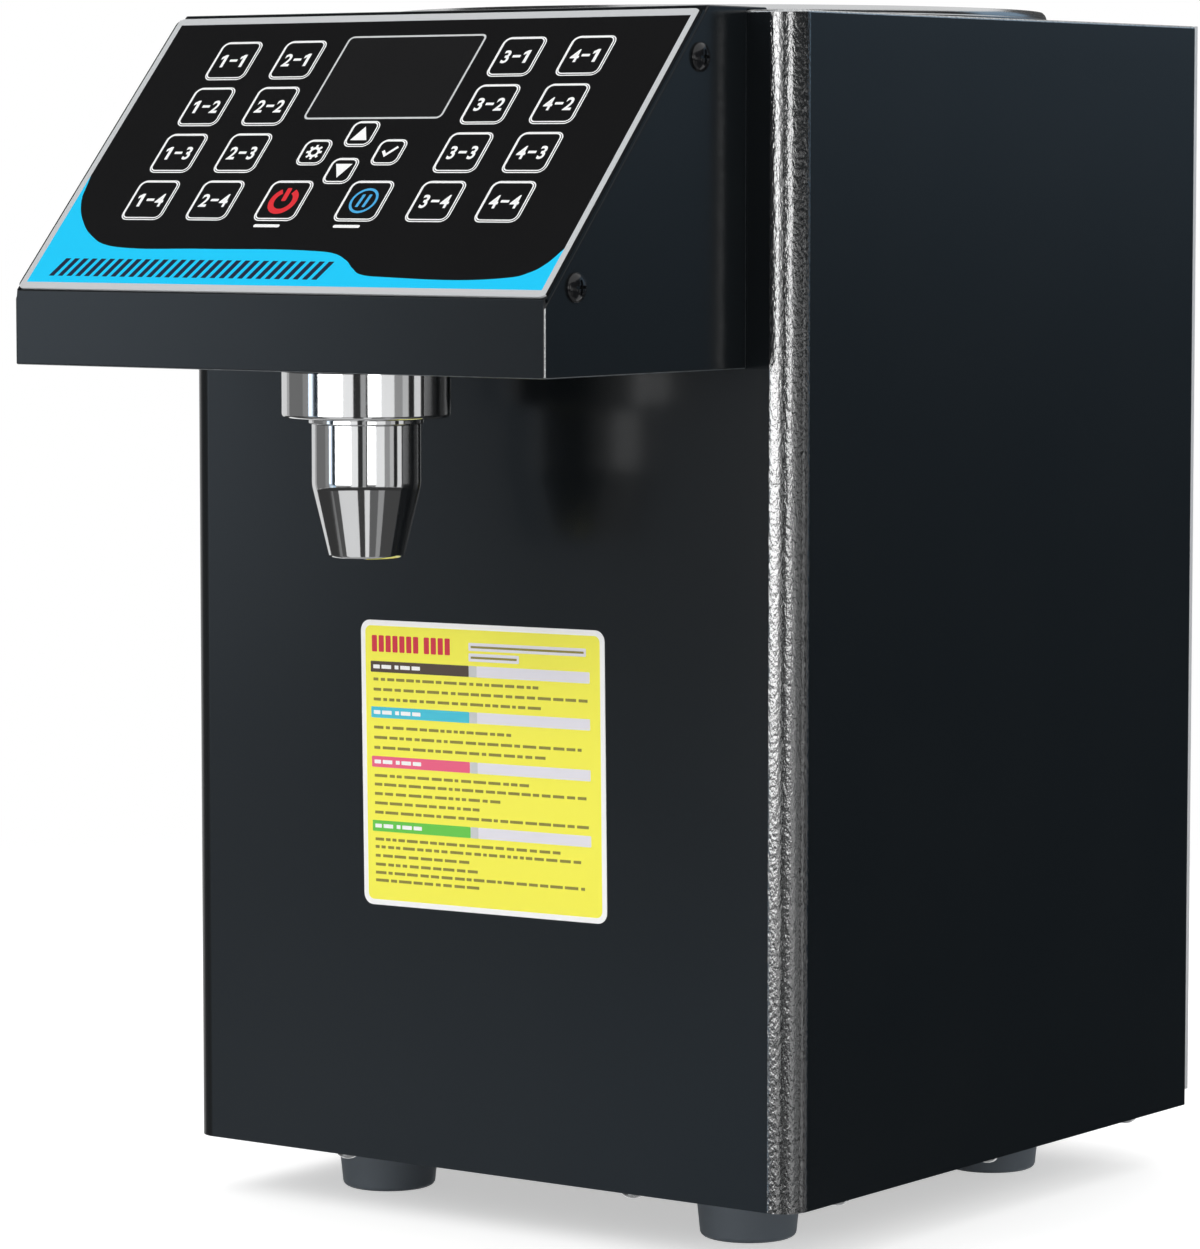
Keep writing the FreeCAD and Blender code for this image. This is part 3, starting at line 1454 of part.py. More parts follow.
def screw_shape(head_radius, head_height, length):
    """Domed screw with a cross recess: the head's underside at zero, the shank downwards."""
    shank = value_of(at.screw_radius)
    edge_height = head_height * SCREW_RIM
    crown = Vector(head_radius * SCREW_CROWN[0], 0, head_height * SCREW_CROWN[1])
    outline = [
        Part.makeLine(Vector(0, 0, -length), Vector(shank, 0, -length)),
        Part.makeLine(Vector(shank, 0, -length), Vector(shank, 0, 0)),
        Part.makeLine(Vector(shank, 0, 0), Vector(head_radius, 0, 0)),
        Part.makeLine(Vector(head_radius, 0, 0), Vector(head_radius, 0, edge_height)),
        Part.Arc(Vector(head_radius, 0, edge_height), crown, Vector(0, 0, head_height)).toShape(),
        Part.makeLine(Vector(0, 0, head_height), Vector(0, 0, -length)),
    ]
    solid = Part.Face(Part.Wire(outline)).revolve(Vector(), Vector(0, 0, 1), 360)
    reach, width = head_radius * CROSS_REACH, head_radius * CROSS_WIDTH
    corner = Vector(-reach, -width / 2, head_height * CROSS_FLOOR)
    bar = Part.makeBox(2 * reach, width, head_height, corner)
    cross = bar.fuse(bar.rotated(Vector(), Vector(0, 0, 1), 90))
    return solid.cut(cross)


def screw_group(label, seats):
    """One node of separate screws, each set by its seat, outward direction and length."""
    screws = []
    for where, outward, radius, height, length in seats:
        shape = screw_shape(value_of(radius), value_of(height), value_of(length))
        shape.Placement = Placement(point(where), Rotation(Vector(0, 0, 1), outward))
        screws.append(shape)
    solid_feature(label, Part.makeCompound(screws))


def pan_head_screws():
    """Bright screws of the floor, feet, rear panel and pump cover."""
    down, back, left = Vector(0, 0, -1), Vector(0, 1, 0), Vector(-1, 0, 0)
    head = (at.pan_radius, at.pan_height)
    seats = []
    for x, y in base_screws:
        seats.append(((x, front_y + y, at.foot_height), down, *head, at.base_screw_length))
    for x, y in foot_places:
        seats.append(((x, front_y + y, at.foot_bore_depth), down, *head, at.foot_screw_length))
    for x, z in rear_screws:
        where = (x, rear_y + at.rear_gauge, at.foot_height + z)
        seats.append((where, back, *head, at.base_screw_length))
    outer = -cavity_half - at.pump_cover_gauge
    for y, z in pump_screws:
        seats.append((shift(pump_at, outer, y, z), left, *head, at.base_screw_length))
    screw_group("pan_head_screws", seats)


def cheek_screws_group():
    """Black screws that hold the control panel's skirts inside the head's cheeks."""
    seats = []
    front = front_y - at.head_overhang
    nose = head_z + at.nose_height
    for side in (-1, 1):
        for along, depth in cheek_screws:
            y, z = slope_point(front, nose, at.panel_inset + along, depth)
            where = (side * head_half, y, z)
            seats.append((where, Vector(side, 0, 0), at.truss_radius, at.truss_height,
                          at.cheek_screw_length))
    screw_group("cheek_screws", seats)


def check(things):
    """Stop before anything is written if a step failed or a sub-part's shape is bad."""
    doc.recompute()
    for thing in doc.Objects:
        if "Invalid" in thing.State or "Error" in thing.State:
            raise RuntimeError(f"{thing.Label} failed: {thing.State}")
    for thing in things:
        if thing.Shape.isNull() or not thing.Shape.isValid() or not thing.Shape.Solids:
            raise RuntimeError(f"{thing.Label} has no valid solid")


def main():
    cabinet_wrap()
    base_plate()
    rear_panel()
    top_plate()
    head_shell()
    control_panel_plate()
    keypad_overlay()
    for label, (spot, side) in keys.items():
        key(label, spot, side)
    display_window()
    display_module()
    control_board()
    notice_card()
    nozzle_gasket()
    nozzle_flange()
    nozzle_barrel()
    nozzle_locknut()
    valve_poppet()
    valve_spring()
    tank()
    heater_band()
    lid()
    lid_seal()
    lid_knob()
    pump_gears()
    pump_housing()
    pump_cover()
    pump_bracket()
    pump_motor()
    suction_hose()
    delivery_hose()
    hose_clamps()
    power_supply()
    power_inlet()
    switch_frame()
    switch_rocker()
    feet()
    pan_head_screws()
    cheek_screws_group()
    check(pieces)
    os.makedirs("parts", exist_ok=True)
    for thing in pieces:
        thing.Shape.exportStep(f"parts/{thing.Label}.step")
        print(f"{thing.Label}: {len(thing.Shape.Solids)} solid(s), {thing.Shape.Volume:.0f} mm3")


main()
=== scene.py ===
"""Looks of a countertop fructose dispenser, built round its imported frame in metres."""

import json
import logging
import math
import random
from dataclasses import dataclass, field
from enum import Enum, IntEnum

import bmesh
import bpy
from mathutils import Matrix, Vector


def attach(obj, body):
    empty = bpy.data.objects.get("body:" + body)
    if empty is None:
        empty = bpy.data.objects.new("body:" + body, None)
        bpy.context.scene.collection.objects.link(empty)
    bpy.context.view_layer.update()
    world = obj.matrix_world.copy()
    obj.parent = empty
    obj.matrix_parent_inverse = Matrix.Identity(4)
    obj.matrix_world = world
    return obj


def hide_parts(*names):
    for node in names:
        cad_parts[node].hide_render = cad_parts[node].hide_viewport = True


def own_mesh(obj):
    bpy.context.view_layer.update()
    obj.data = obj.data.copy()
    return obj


logging.basicConfig(level=logging.INFO, format="%(message)s")
LOG = logging.getLogger("dispenser")

Shape = bmesh.types.BMesh
Tree = bpy.types.NodeTree
Socket = bpy.types.NodeSocket
Pair = tuple[float, float]
Triple = tuple[float, float, float]
Profile = tuple[Triple, ...]  # radius, height and rounding of each point, in millimetres

MM = 0.001  # metres
SHARP = math.radians(32)  # faces that meet at more than this keep a sharp edge
STEEP = math.radians(48)  # a copied node's faces that meet at more than this get a softened edge
FLAT = math.radians(0.6)  # faces that meet at less than this become one
WELD = 0.000002  # metres within which vertices become one
NEAR = 0.01  # millimetres within which two places are the same
CORNER_STEPS = 6  # segments of a flat shape's rounded corner
PROFILE_STEPS = 5  # segments of a turned profile's rounded corner
EDGE_STEPS = 3  # segments of a rounded edge
SMOOTHEST = 0.02  # least roughness of any finish
UP_AXIS = (0, 0, 1)
ORIGIN = (0, 0, 0)


# --- helpers for meshes ---


def mm(*values: float) -> Vector:
    """Turn three millimetre values into a point in metres."""
    return Vector(values) * MM


def shifted(x: float, y: float, z: float) -> Matrix:
    """Give the shift by three millimetre values."""
    return Matrix.Translation(mm(x, y, z))


def turn(degrees: float, axis: str) -> Matrix:
    """Give the turn by some degrees about a named axis."""
    return Matrix.Rotation(math.radians(degrees), 4, axis)


def everything(bm: Shape) -> list:
    """List a mesh's vertices, edges and faces."""
    return list(bm.verts) + list(bm.edges) + list(bm.faces)


def new_verts(made: dict) -> list[bmesh.types.BMVert]:
    """Pick the vertices out of an operator's result."""
    return [item for item in made["geom"] if isinstance(item, bmesh.types.BMVert)]


def cut(bm: Shape, spot: Triple, normal: Triple) -> None:
    """Cut a mesh along the plane through a point in millimetres, and keep both sides."""
    bmesh.ops.bisect_plane(bm, geom=everything(bm), plane_co=mm(*spot), plane_no=normal)


def bevel(
    bm: Shape, geom: list, width: float, steps: int, affect: str = "EDGES", clamp: bool = False,
) -> list[bmesh.types.BMFace]:
    """Round edges or flat corners.

    Args:
        bm: Mesh that is changed.
        geom: The edges, or the corners' vertices.
        width: Width of the rounding in millimetres.
        steps: Its segments.
        affect: EDGES or VERTICES.
        clamp: Whether a rounding stops short of the next one.

    Returns:
        The new faces.
    """
    return bmesh.ops.bevel(
        bm, geom=geom, offset=width * MM, segments=steps, affect=affect, profile=0.5, material=-1,
        clamp_overlap=clamp,
    )["faces"]


def outline(points: list[Pair]) -> Shape:
    """Close a few points of the XY plane into one face.

    Args:
        points: Corners in millimetres, anticlockwise.

    Returns:
        The flat mesh.
    """
    bm = bmesh.new()
    bm.faces.new([bm.verts.new(mm(x, y, 0)) for x, y in points])
    return bm


def plate(size: Pair, radius: float) -> Shape:
    """Lay a rectangle with rounded corners in the XY plane.

    Args:
        size: Width and height in millimetres.
        radius: Corner radius in millimetres.

    Returns:
        The flat mesh.
    """
    bm = bmesh.new()
    corners = bmesh.ops.create_grid(bm, x_segments=1, y_segments=1, size=0.5)["verts"]
    bmesh.ops.scale(bm, vec=mm(*size, 1), verts=corners)
    bevel(bm, corners, radius, CORNER_STEPS, "VERTICES")
    return bm


def border(bm: Shape, width: float) -> Shape:
    """Keep only the border of a flat mesh with one face.

    Args:
        bm: The flat mesh.
        width: Width of the border in millimetres.

    Returns:
        The same mesh.
    """
    bm.faces.ensure_lookup_table()
    face = bm.faces[-1]
    bmesh.ops.inset_region(
        bm, faces=[face], thickness=width * MM, use_even_offset=True, use_boundary=True,
    )
    bmesh.ops.delete(bm, geom=[face], context="FACES")
    return bm


def disc(radius: float, hole: float = 0.0, steps: int = 40) -> Shape:
    """Lay a disc or a ring in the XY plane.

    Args:
        radius: Outer radius in millimetres.
        hole: Inner radius in millimetres, or zero for a full disc.
        steps: Divisions of the full turn.

    Returns:
        The flat mesh.
    """
    bm = bmesh.new()
    bmesh.ops.create_circle(bm, cap_ends=True, segments=steps, radius=radius * MM)
    return border(bm, radius - hole) if hole > 0 else bm


def thicken(bm: Shape, low: float, high: float, edge: float = 0.0) -> Shape:
    """Turn flat faces at zero into a solid between two heights.

    Args:
        bm: Mesh whose faces all lie in the XY plane.
        low: Height of the underside in millimetres.
        high: Height of the top in millimetres.
        edge: Radius of the top edge in millimetres.

    Returns:
        The same mesh.
    """
    grown = bmesh.ops.extrude_face_region(bm, geom=list(bm.faces))
    bmesh.ops.translate(bm, vec=mm(0, 0, high - low), verts=new_verts(grown))
    bmesh.ops.translate(bm, vec=mm(0, 0, low), verts=bm.verts)
    bmesh.ops.recalc_face_normals(bm, faces=bm.faces)
    if edge > 0:
        crest = [
            one for one in bm.edges
            if all(abs(vert.co.z - high * MM) < WELD for vert in one.verts) and one.is_manifold
            and one.calc_face_angle(0) > SHARP
        ]
        bevel(bm, crest, edge, EDGE_STEPS)
    return bm


def turned(profile: Profile, steps: int, place: Matrix) -> Shape:
    """Turn a closed or axis-ended profile about the upright axis.

    Args:
        profile: Radius, height and corner rounding of each point, in millimetres.
        steps: Divisions of the full turn.
        place: Where the turned mesh goes, in metres.

    Returns:
        The turned mesh.
    """
    bm = bmesh.new()
    verts = [bm.verts.new(mm(radius, 0, height)) for radius, height, _ in profile]
    ends_on_axis = profile[0][0] == 0 and profile[-1][0] == 0
    for pair in zip(verts, verts[1:] + ([] if ends_on_axis else verts[:1])):
        bm.edges.new(pair)
    for vert, (_, _, rounding) in zip(verts, profile):
        if rounding > 0:
            bevel(bm, [vert], rounding, PROFILE_STEPS, "VERTICES")
    bmesh.ops.spin(
        bm, geom=everything(bm), cent=ORIGIN, axis=UP_AXIS, angle=2 * math.pi, steps=steps,
        use_merge=True,
    )
    bmesh.ops.remove_doubles(bm, verts=bm.verts, dist=WELD)
    bmesh.ops.recalc_face_normals(bm, faces=bm.faces)
    bm.transform(place)
    return bm


def mesh_of(name: str, bm: Shape) -> bpy.types.Mesh:
    """Use up a shape for a new mesh.

    Args:
        name: Name of the mesh.
        bm: The shape.

    Returns:
        The mesh.
    """
    mesh = bpy.data.meshes.new(name)
    bm.to_mesh(mesh)
    bm.free()
    return mesh


def add_to(target: Shape, part: Shape, place: Matrix = Matrix(), finish: int = 0) -> None:
    """Move one mesh into another.

    Args:
        target: Mesh that grows.
        part: Mesh that is used up.
        place: Where it goes, in metres.
        finish: Material index that its faces take.
    """
    for face in part.faces:
        face.material_index = finish
    part.transform(place)
    carrier = mesh_of("carrier", part)
    target.from_mesh(carrier)
    bpy.data.meshes.remove(carrier)


def in_scene(name: str, data: bpy.types.ID) -> bpy.types.Object:
    """Link a new object with its data to the scene.

    Args:
        name: Name of the object.
        data: Its mesh, curve, lamp or camera.

    Returns:
        The object.
    """
    thing = bpy.data.objects.new(name, data)
    bpy.context.scene.collection.objects.link(thing)
    return thing


def aim(thing: bpy.types.Object, where: Triple, way: Vector) -> None:
    """Stand an object somewhere and point its -Z axis.

    Args:
        thing: A lamp or camera.
        where: Its place in metres.
        way: Where it looks.
    """
    thing.location = where
    thing.rotation_mode = "QUATERNION"
    thing.rotation_quaternion = way.to_track_quat("-Z", "Y")


def lettering(text: str, size: float, weight: float) -> Shape:
    """Draw plain figures as a flat mesh centred on the origin.

    Args:
        text: Figures to draw.
        size: Height of the type body in millimetres.
        weight: How far strokes are fattened on each side, in millimetres.

    Returns:
        A mesh in the XY plane.
    """
    curve = bpy.data.curves.new("figures", "FONT")
    curve.body = text
    curve.size = size * MM
    curve.offset = weight * MM
    curve.resolution_u = 4
    curve.align_x = curve.align_y = "CENTER"
    holder = in_scene("figures", curve)
    depsgraph = bpy.context.evaluated_depsgraph_get()
    drawn = bpy.data.meshes.new_from_object(holder.evaluated_get(depsgraph))
    bm = bmesh.new()
    bm.from_mesh(drawn)
    bpy.data.objects.remove(holder)
    bpy.data.curves.remove(curve)
    bpy.data.meshes.remove(drawn)
    spans = [[vert.co[axis] for vert in bm.verts] for axis in (0, 1)]
    centre = [(min(span) + max(span)) / 2 for span in spans]
    bmesh.ops.translate(bm, vec=(-centre[0], -centre[1], 0), verts=bm.verts)
    return bm


def copy_of(node: str, edge: float = 0.0) -> Shape:
    """Copy a frame node's mesh, weld its loose triangles and soften its edges.

    Args:
        node: Name of the node.
        edge: Width of the softened edges in millimetres.

    Returns:
        The welded mesh.
    """
    bm = bmesh.new()
    bm.from_mesh(FRAME["nodes"][node].data)
    bmesh.ops.remove_doubles(bm, verts=bm.verts, dist=WELD)
    bmesh.ops.dissolve_limit(bm, angle_limit=FLAT, verts=bm.verts, edges=bm.edges)
    if edge > 0:
        sharp = [one for one in bm.edges if one.is_manifold and one.calc_face_angle(0) > STEEP]
        bevel(bm, sharp, edge, 2, clamp=True)
    return bm


def body_of(node: str) -> str:
    """Name the body that carries a frame node."""
    bodies = FRAME["record"]["behaviour"]["bodies"]
    return next(body for body, nodes in bodies.items() if node in nodes)


def slot_of(node: str) -> str:
    """Name the material slot of a frame node."""
    return next(row["material_slot"] for row in FRAME["record"]["subparts"] if row["node"] == node)


def publish(name: str, bm: Shape, node: str, *finishes: "Finish") -> bpy.types.Object:
    """Make a finished piece of a mesh and put it on the body of the node that it replaces.

    Args:
        name: Name of the piece.
        bm: Its mesh in the frame's metres, used up here.
        node: Frame node that it stands for.
        finishes: Finishes by the mesh's material indices, or none for the slot's own finish.

    Returns:
        The new object.
    """
    slot = slot_of(node)
    mesh = mesh_of(name, bm)
    for finish in finishes or (FINISH_OF_SLOT[slot],):
        mesh.materials.append(finish.material())
    mesh.shade_smooth()
    mesh.set_sharp_from_angle(angle=SHARP)
    piece = in_scene(name, mesh)
    normals = piece.modifiers.new("even_normals", "WEIGHTED_NORMAL")
    normals.keep_sharp = True
    normals.weight = 100
    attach(piece, body_of(node))
    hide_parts(node)
    LOG.info("%s: %d faces", name, len(mesh.polygons))
    return piece


# --- helpers for finishes ---


def straight(part: float) -> float:
    """Undo the sRGB curve of one channel."""
    return part / 12.92 if part <= 0.04045 else ((part + 0.055) / 1.055) ** 2.4


def linear(code: str) -> tuple[float, ...]:
    """Turn an sRGB hex code into a linear colour with a full alpha."""
    red, green, blue = (int(code[start:start + 2], 16) / 255 for start in (1, 3, 5))
    return (*map(straight, (red, green, blue)), 1.0)


def blank_tree(owner: bpy.types.ID) -> Tree:
    """Switch the nodes of a material or world on and clear them.

    Args:
        owner: The material or world.

    Returns:
        Its empty node tree.
    """
    owner.use_nodes = True
    owner.node_tree.nodes.clear()
    return owner.node_tree


def add(tree: Tree, kind: str, inputs: dict | None = None, **settings: str) -> bpy.types.Node:
    """Add one node.

    Args:
        tree: Node tree that receives it.
        kind: Node type without its ShaderNode prefix.
        inputs: A socket to link or a value to hold, by the input's name or number.
        settings: The node's own attributes.

    Returns:
        The new node.
    """
    made = tree.nodes.new("ShaderNode" + kind)
    for key, value in settings.items():
        setattr(made, key, value)
    for key, value in (inputs or {}).items():
        if isinstance(value, Socket):
            tree.links.new(value, made.inputs[key])
        else:
            made.inputs[key].default_value = value
    return made


def calc(tree: Tree, operation: str, *values: float | Socket) -> Socket:
    """Add one Math node and give its result."""
    return add(tree, "Math", dict(enumerate(values)), operation=operation).outputs[0]


def blend(tree: Tree, share: Socket, first: tuple | Socket, second: tuple | Socket) -> Socket:
    """Mix two colours by a share of the second and give the result."""
    return add(tree, "Mix", {0: share, 6: first, 7: second}, data_type="RGBA").outputs[2]


# --- finishes ---


class Grain(Enum):
    """How a surface was made, as the stretch of the noise that follows it."""

    EVEN = (1.0, 1.0, 1.0)
    BRUSHED_ACROSS = (0.03, 1.0, 1.0)
    PEEL = (1.0, 1.0, 0.5)
    SPUN = (1.0, 1.0, 0.0)


@dataclass(frozen=True)
class Finish:
    """A real material and the way its surface was made.

    The two shades are mixed in soft patches, the roughness wanders by its spread, and the bump
    has the grain's real size.
    """

    name: str
    shade: str
    other_shade: str
    roughness: float
    spread: float = 0.05
    metallic: float = 0.0
    specular: float = 0.5
    grain_mm: float = 0.8
    patch_mm: float = 30.0
    depth_mm: float = 0.01
    grain: Grain = Grain.EVEN
    coat: float = 0.0
    coat_roughness: float = 0.1
    sheen: float = 0.0
    see_through: float = 0.0
    ior: float = 1.5

    def colour(self, tree: Tree, place: Socket) -> Socket:
        """Mix the two shades in patches.

        Args:
            tree: The material's nodes.
            place: Object coordinates.

        Returns:
            The colour's socket.
        """
        scale = 1 / (self.patch_mm * MM)
        patches = add(tree, "TexNoise", {"Vector": place, "Scale": scale, "Detail": 4.0})
        return blend(tree, patches.outputs["Fac"], linear(self.shade), linear(self.other_shade))

    def relief(self, tree: Tree, place: Socket) -> tuple[Socket, Socket]:
        """Make the grain.

        Args:
            tree: The material's nodes.
            place: Object coordinates.

        Returns:
            The grain's height socket and the bump's normal socket.
        """
        stretch = add(tree, "Mapping", {"Vector": place, "Scale": self.grain.value}).outputs[0]
        if self.grain is Grain.SPUN:
            axis = TANK.translation * Vector((1, 1, 0))
            reach = add(tree, "VectorMath", {0: stretch, 1: axis}, operation="DISTANCE")
            height = add(tree, "SeparateXYZ", {0: place}).outputs["Z"]
            rings = add(tree, "CombineXYZ", {0: reach.outputs["Value"], 2: height})
            stretch = rings.outputs[0]
        scale = 1 / (self.grain_mm * MM)
        grain = add(tree, "TexNoise", {"Vector": stretch, "Scale": scale, "Detail": 2.0})
        height = grain.outputs["Fac"]
        bump = add(
            tree, "Bump", {"Height": height, "Strength": 1.0, "Distance": self.depth_mm * MM}
        )
        return height, bump.outputs["Normal"]

    def material(self) -> bpy.types.Material:
        """Build the material once and hand it out from then on.

        Returns:
            The material.
        """
        title = f"{self.name}_finish"
        if title in bpy.data.materials:
            return bpy.data.materials[title]
        made = bpy.data.materials.new(title)
        tree = blank_tree(made)
        place = add(tree, "TexCoord").outputs["Object"]
        height, normal = self.relief(tree, place)
        smooth = max(self.roughness - self.spread, SMOOTHEST)
        rough = min(self.roughness + self.spread, 1)
        inputs = {
            "Base Color": self.colour(tree, place), "Normal": normal,
            "Roughness": add(tree, "MapRange", {0: height, 3: smooth, 4: rough}).outputs[0],
            "Metallic": self.metallic, "Specular IOR Level": self.specular,
            "Coat Weight": self.coat, "Coat Roughness": self.coat_roughness,
            "Sheen Weight": self.sheen, "Transmission Weight": self.see_through,
        }
        if not self.metallic:
            inputs["IOR"] = self.ior
        add(tree, "OutputMaterial", {"Surface": add(tree, "BsdfPrincipled", inputs).outputs[0]})
        return made


@dataclass(frozen=True)
class PrintedFilm(Finish):
    """Polyester film printed on its back: silver border, black field and a blue wave below.

    Sizes are in the film's own plane, in millimetres.
    """

    silver: str = "#C6C8CA"
    blue: str = "#17C9F9"
    half_width: float = 115.5
    border: float = 3.2
    margin: float = 0.8
    border_ends: Pair = (3.1, 127.2)
    wave: tuple[Pair, ...] = (
        (-113.8, 56.5), (-110.1, 42.4), (-102.4, 31.0), (-94.3, 24.5), (-86.1, 20.8),
        (-76.6, 19.5), (-42.1, 19.4), (10.0, 18.9), (16.5, 18.2), (24.0, 15.2), (29.2, 11.3),
        (34.5, 8.6), (43.0, 7.8), (96.7, 8.4), (103.7, 10.8), (108.0, 14.2), (110.9, 18.6),
        (112.5, 21.5),
    )
    wave_span: float = 240.0
    wave_rise: float = 60.0
    wave_ends: Pair = (1.0, 0.45)

    def crest(self, tree: Tree, across: Socket) -> Socket:
        """Draw the wave's upper edge.

        Args:
            tree: The material's nodes.
            across: Place across the film.

        Returns:
            The socket of the edge's height there.
        """
        half = self.wave_span / 2
        along = add(tree, "MapRange", {0: across, 1: -half, 2: half}).outputs[0]
        shape = add(tree, "FloatCurve", {"Value": along})
        points = shape.mapping.curves[0].points
        points[0].location = (0.0, self.wave_ends[0])
        points[-1].location = (1.0, self.wave_ends[1])
        for x, height in self.wave:
            points.new(x / self.wave_span + 0.5, height / self.wave_rise)
        shape.mapping.update()
        return calc(tree, "MULTIPLY", shape.outputs[0], self.wave_rise)

    def colour(self, tree: Tree, place: Socket) -> Socket:
        """Lay out the three printed colours.

        Args:
            tree: The material's nodes.
            place: Object coordinates.

        Returns:
            The colour's socket.
        """
        black = super().colour(tree, place)
        own = {
            "Vector": place, "Location": PANEL.translation, "Rotation": PANEL.to_euler(),
            "Scale": (MM, MM, MM),
        }
        flat = add(tree, "Mapping", own, vector_type="TEXTURE").outputs[0]
        across, up, _ = add(tree, "SeparateXYZ", {0: flat}).outputs
        below = calc(tree, "LESS_THAN", up, self.crest(tree, across))
        printed = blend(tree, below, black, linear(self.blue))
        side = calc(tree, "ABSOLUTE", across)
        low, high = self.border_ends
        ends = calc(
            tree, "MAXIMUM", calc(tree, "LESS_THAN", up, low), calc(tree, "GREATER_THAN", up, high)
        )
        past_side = calc(tree, "GREATER_THAN", side, self.half_width - self.border)
        edge = calc(tree, "MAXIMUM", past_side, ends)
        bordered = blend(tree, edge, printed, linear(self.silver))
        bare = calc(tree, "GREATER_THAN", side, self.half_width - self.margin)
        return blend(tree, bare, bordered, black)


def ink(name: str, shade: str, other_shade: str) -> Finish:
    """Make a screen-printing ink: flat colour, not as glossy as the film, faintly uneven."""
    return Finish(name, shade, other_shade, 0.45, specular=0.3, patch_mm=2, depth_mm=0.001)


def card_ink(name: str, shade: str, other_shade: str, patch_mm: float = 30.0) -> Finish:
    """Make a printing ink under the card's laminate: flat colour with the laminate's sheen."""
    return Finish(name, shade, other_shade, 0.4, patch_mm=patch_mm, depth_mm=0)


# Epoxy-polyester powder coat: satin black with a fine orange peel that breaks up highlights.
POWDER_COAT = Finish(
    "powder_coat", "#0F1316", "#141719", 0.17, 0.03, specular=0.4, grain_mm=1.1, patch_mm=60,
    depth_mm=0.006,
)
# The same coat stretched over a bend: glossier, with a coarse peel that speckles the light.
BEND_COAT = Finish(
    "bend_coat", "#111417", "#15181B", 0.1, 0.03, specular=1.0, grain_mm=1.0, patch_mm=60,
    depth_mm=0.17, grain=Grain.PEEL, coat=0.6, coat_roughness=0.05, ior=2.0,
)
# Near-white metal laid on rounded folded edges as a painted highlight: it draws a bright broken
# line.
EDGE_HIGHLIGHT_PAINT = Finish(
    "painted_edge_highlight", "#FBFCFC", "#6E7377", 0.2, 0.1, metallic=0.8, patch_mm=1.5, grain_mm=0.9,
    depth_mm=0.06,
)
# Dark metal with lighter spots laid on sheared and folded edges as a painted highlight: a dull line
# with lighter spots.
DULL_EDGE_HIGHLIGHT = Finish(
    "dull_edge_highlight", "#1B1E21", "#7C8287", 0.3, 0.08, metallic=0.4, patch_mm=3, grain_mm=0.6,
)
# Hot-dip galvanised steel: soft grey patches of spangle.
ZINC_SHEET = Finish("zinc_sheet", "#A9ACAF", "#BFC2C4", 0.38, 0.1, metallic=1.0, patch_mm=9)
# Uncoated stainless sheet: pale, with fine brush lines across.
BARE_STEEL = Finish(
    "bare_steel", "#DDDEDF", "#E8E9EA", 0.42, 0.09, metallic=0.45, grain_mm=0.5, depth_mm=0.004,
    grain=Grain.BRUSHED_ACROSS,
)
# Matt hard-coated polyester film over printed inks: calm, with a soft sheen.
FILM = PrintedFilm(
    "keypad_film", "#131314", "#161617", 0.25, 0.04, specular=0.25, grain_mm=0.5, depth_mm=0.002,
)
# The same film over plain black ink, on the keys.
KEY_FILM = Finish(
    "key_film", "#131314", "#171718", 0.25, 0.04, specular=0.25, grain_mm=0.5, depth_mm=0.002,
)
# Screen-printing inks on the film: white outlines and figures, the display's grey frame, the
# red and the blue sign, and the navy strokes on the wave.
WHITE_INK = ink("white_ink", "#F4F5F5", "#FDFDFD")
GREY_INK = ink("grey_ink", "#C9CBCC", "#D4D6D7")
RED_INK = ink("red_ink", "#E4252F", "#D81E2A")
SKY_INK = ink("sky_ink", "#3BA3DC", "#4BB0E6")
NAVY_INK = ink("navy_ink", "#10203F", "#0D1A36")
# Smoked acrylic: nearly black, glossier than the film round it.
SMOKED_ACRYLIC = Finish(
    "smoked_acrylic", "#1A1A1B", "#1E1E1F", 0.22, 0.03, specular=0.35, depth_mm=0,
)
# Epoxy-filled digit block: flat dark grey behind the window.
DISPLAY_BLOCK = Finish("display_block", "#141414", "#1C1C1C", 0.5)
# Fibreglass board under green solder resist: a clear lacquer's gloss over green.
CIRCUIT_BOARD = Finish("circuit_board", "#0F5A2C", "#1B6E38", 0.35, 0.08, patch_mm=3, coat=0.3)
# Laminated card stock: bright white with a low even gloss.
CARD_WHITE = Finish("card_white", "#FDFDFB", "#FFFFFF", 0.35, specular=0.35, depth_mm=0.002)
# The same stock under a full layer of yellow.
CARD_YELLOW = Finish(
    "card_yellow", "#FFF84E", "#FFFA58", 0.35, specular=0.35, patch_mm=50, depth_mm=0.002,
)
# Offset inks under the laminate: the dashes' broken olive, then the heading and the bars.
CARD_OLIVE = card_ink("card_olive", "#9C9238", "#857C30", 1.5)
CARD_CRIMSON = card_ink("card_crimson", "#D3203A", "#DC2842")
CARD_BROWN = card_ink("card_brown", "#4A3B2C", "#57463A")
CARD_CYAN = card_ink("card_cyan", "#35C3DC", "#48CCE2")
CARD_PINK = card_ink("card_pink", "#F2557F", "#F56A8E")
CARD_GREEN = card_ink("card_green", "#5FCB42", "#6CD24C")
CARD_PALE = card_ink("card_pale", "#E6E3EC", "#ECEAF1")
# Nickel-chrome plate over turned brass: mirror bright with the faintest turning marks.
CHROME_PLATE = Finish(
    "chrome_plate", "#E9EAEB", "#F1F2F3", 0.07, 0.03, metallic=1.0, grain_mm=0.35,
    depth_mm=0.0012, grain=Grain.BRUSHED_ACROSS,
)
# Drawn spring wire and band: bright steel with a soft shine.
SPRING_STEEL = Finish("spring_steel", "#B4B5B8", "#C2C3C6", 0.28, metallic=1.0, depth_mm=0.002)
# Spun stainless steel, polished on the lathe: fine rings, drawn coarser than real so they show.
POLISHED_STEEL = Finish(
    "polished_steel", "#C6C7C8", "#D0D1D2", 0.22, 0.14, metallic=1.0, grain_mm=1.1,
    depth_mm=0.012, grain=Grain.SPUN,
)
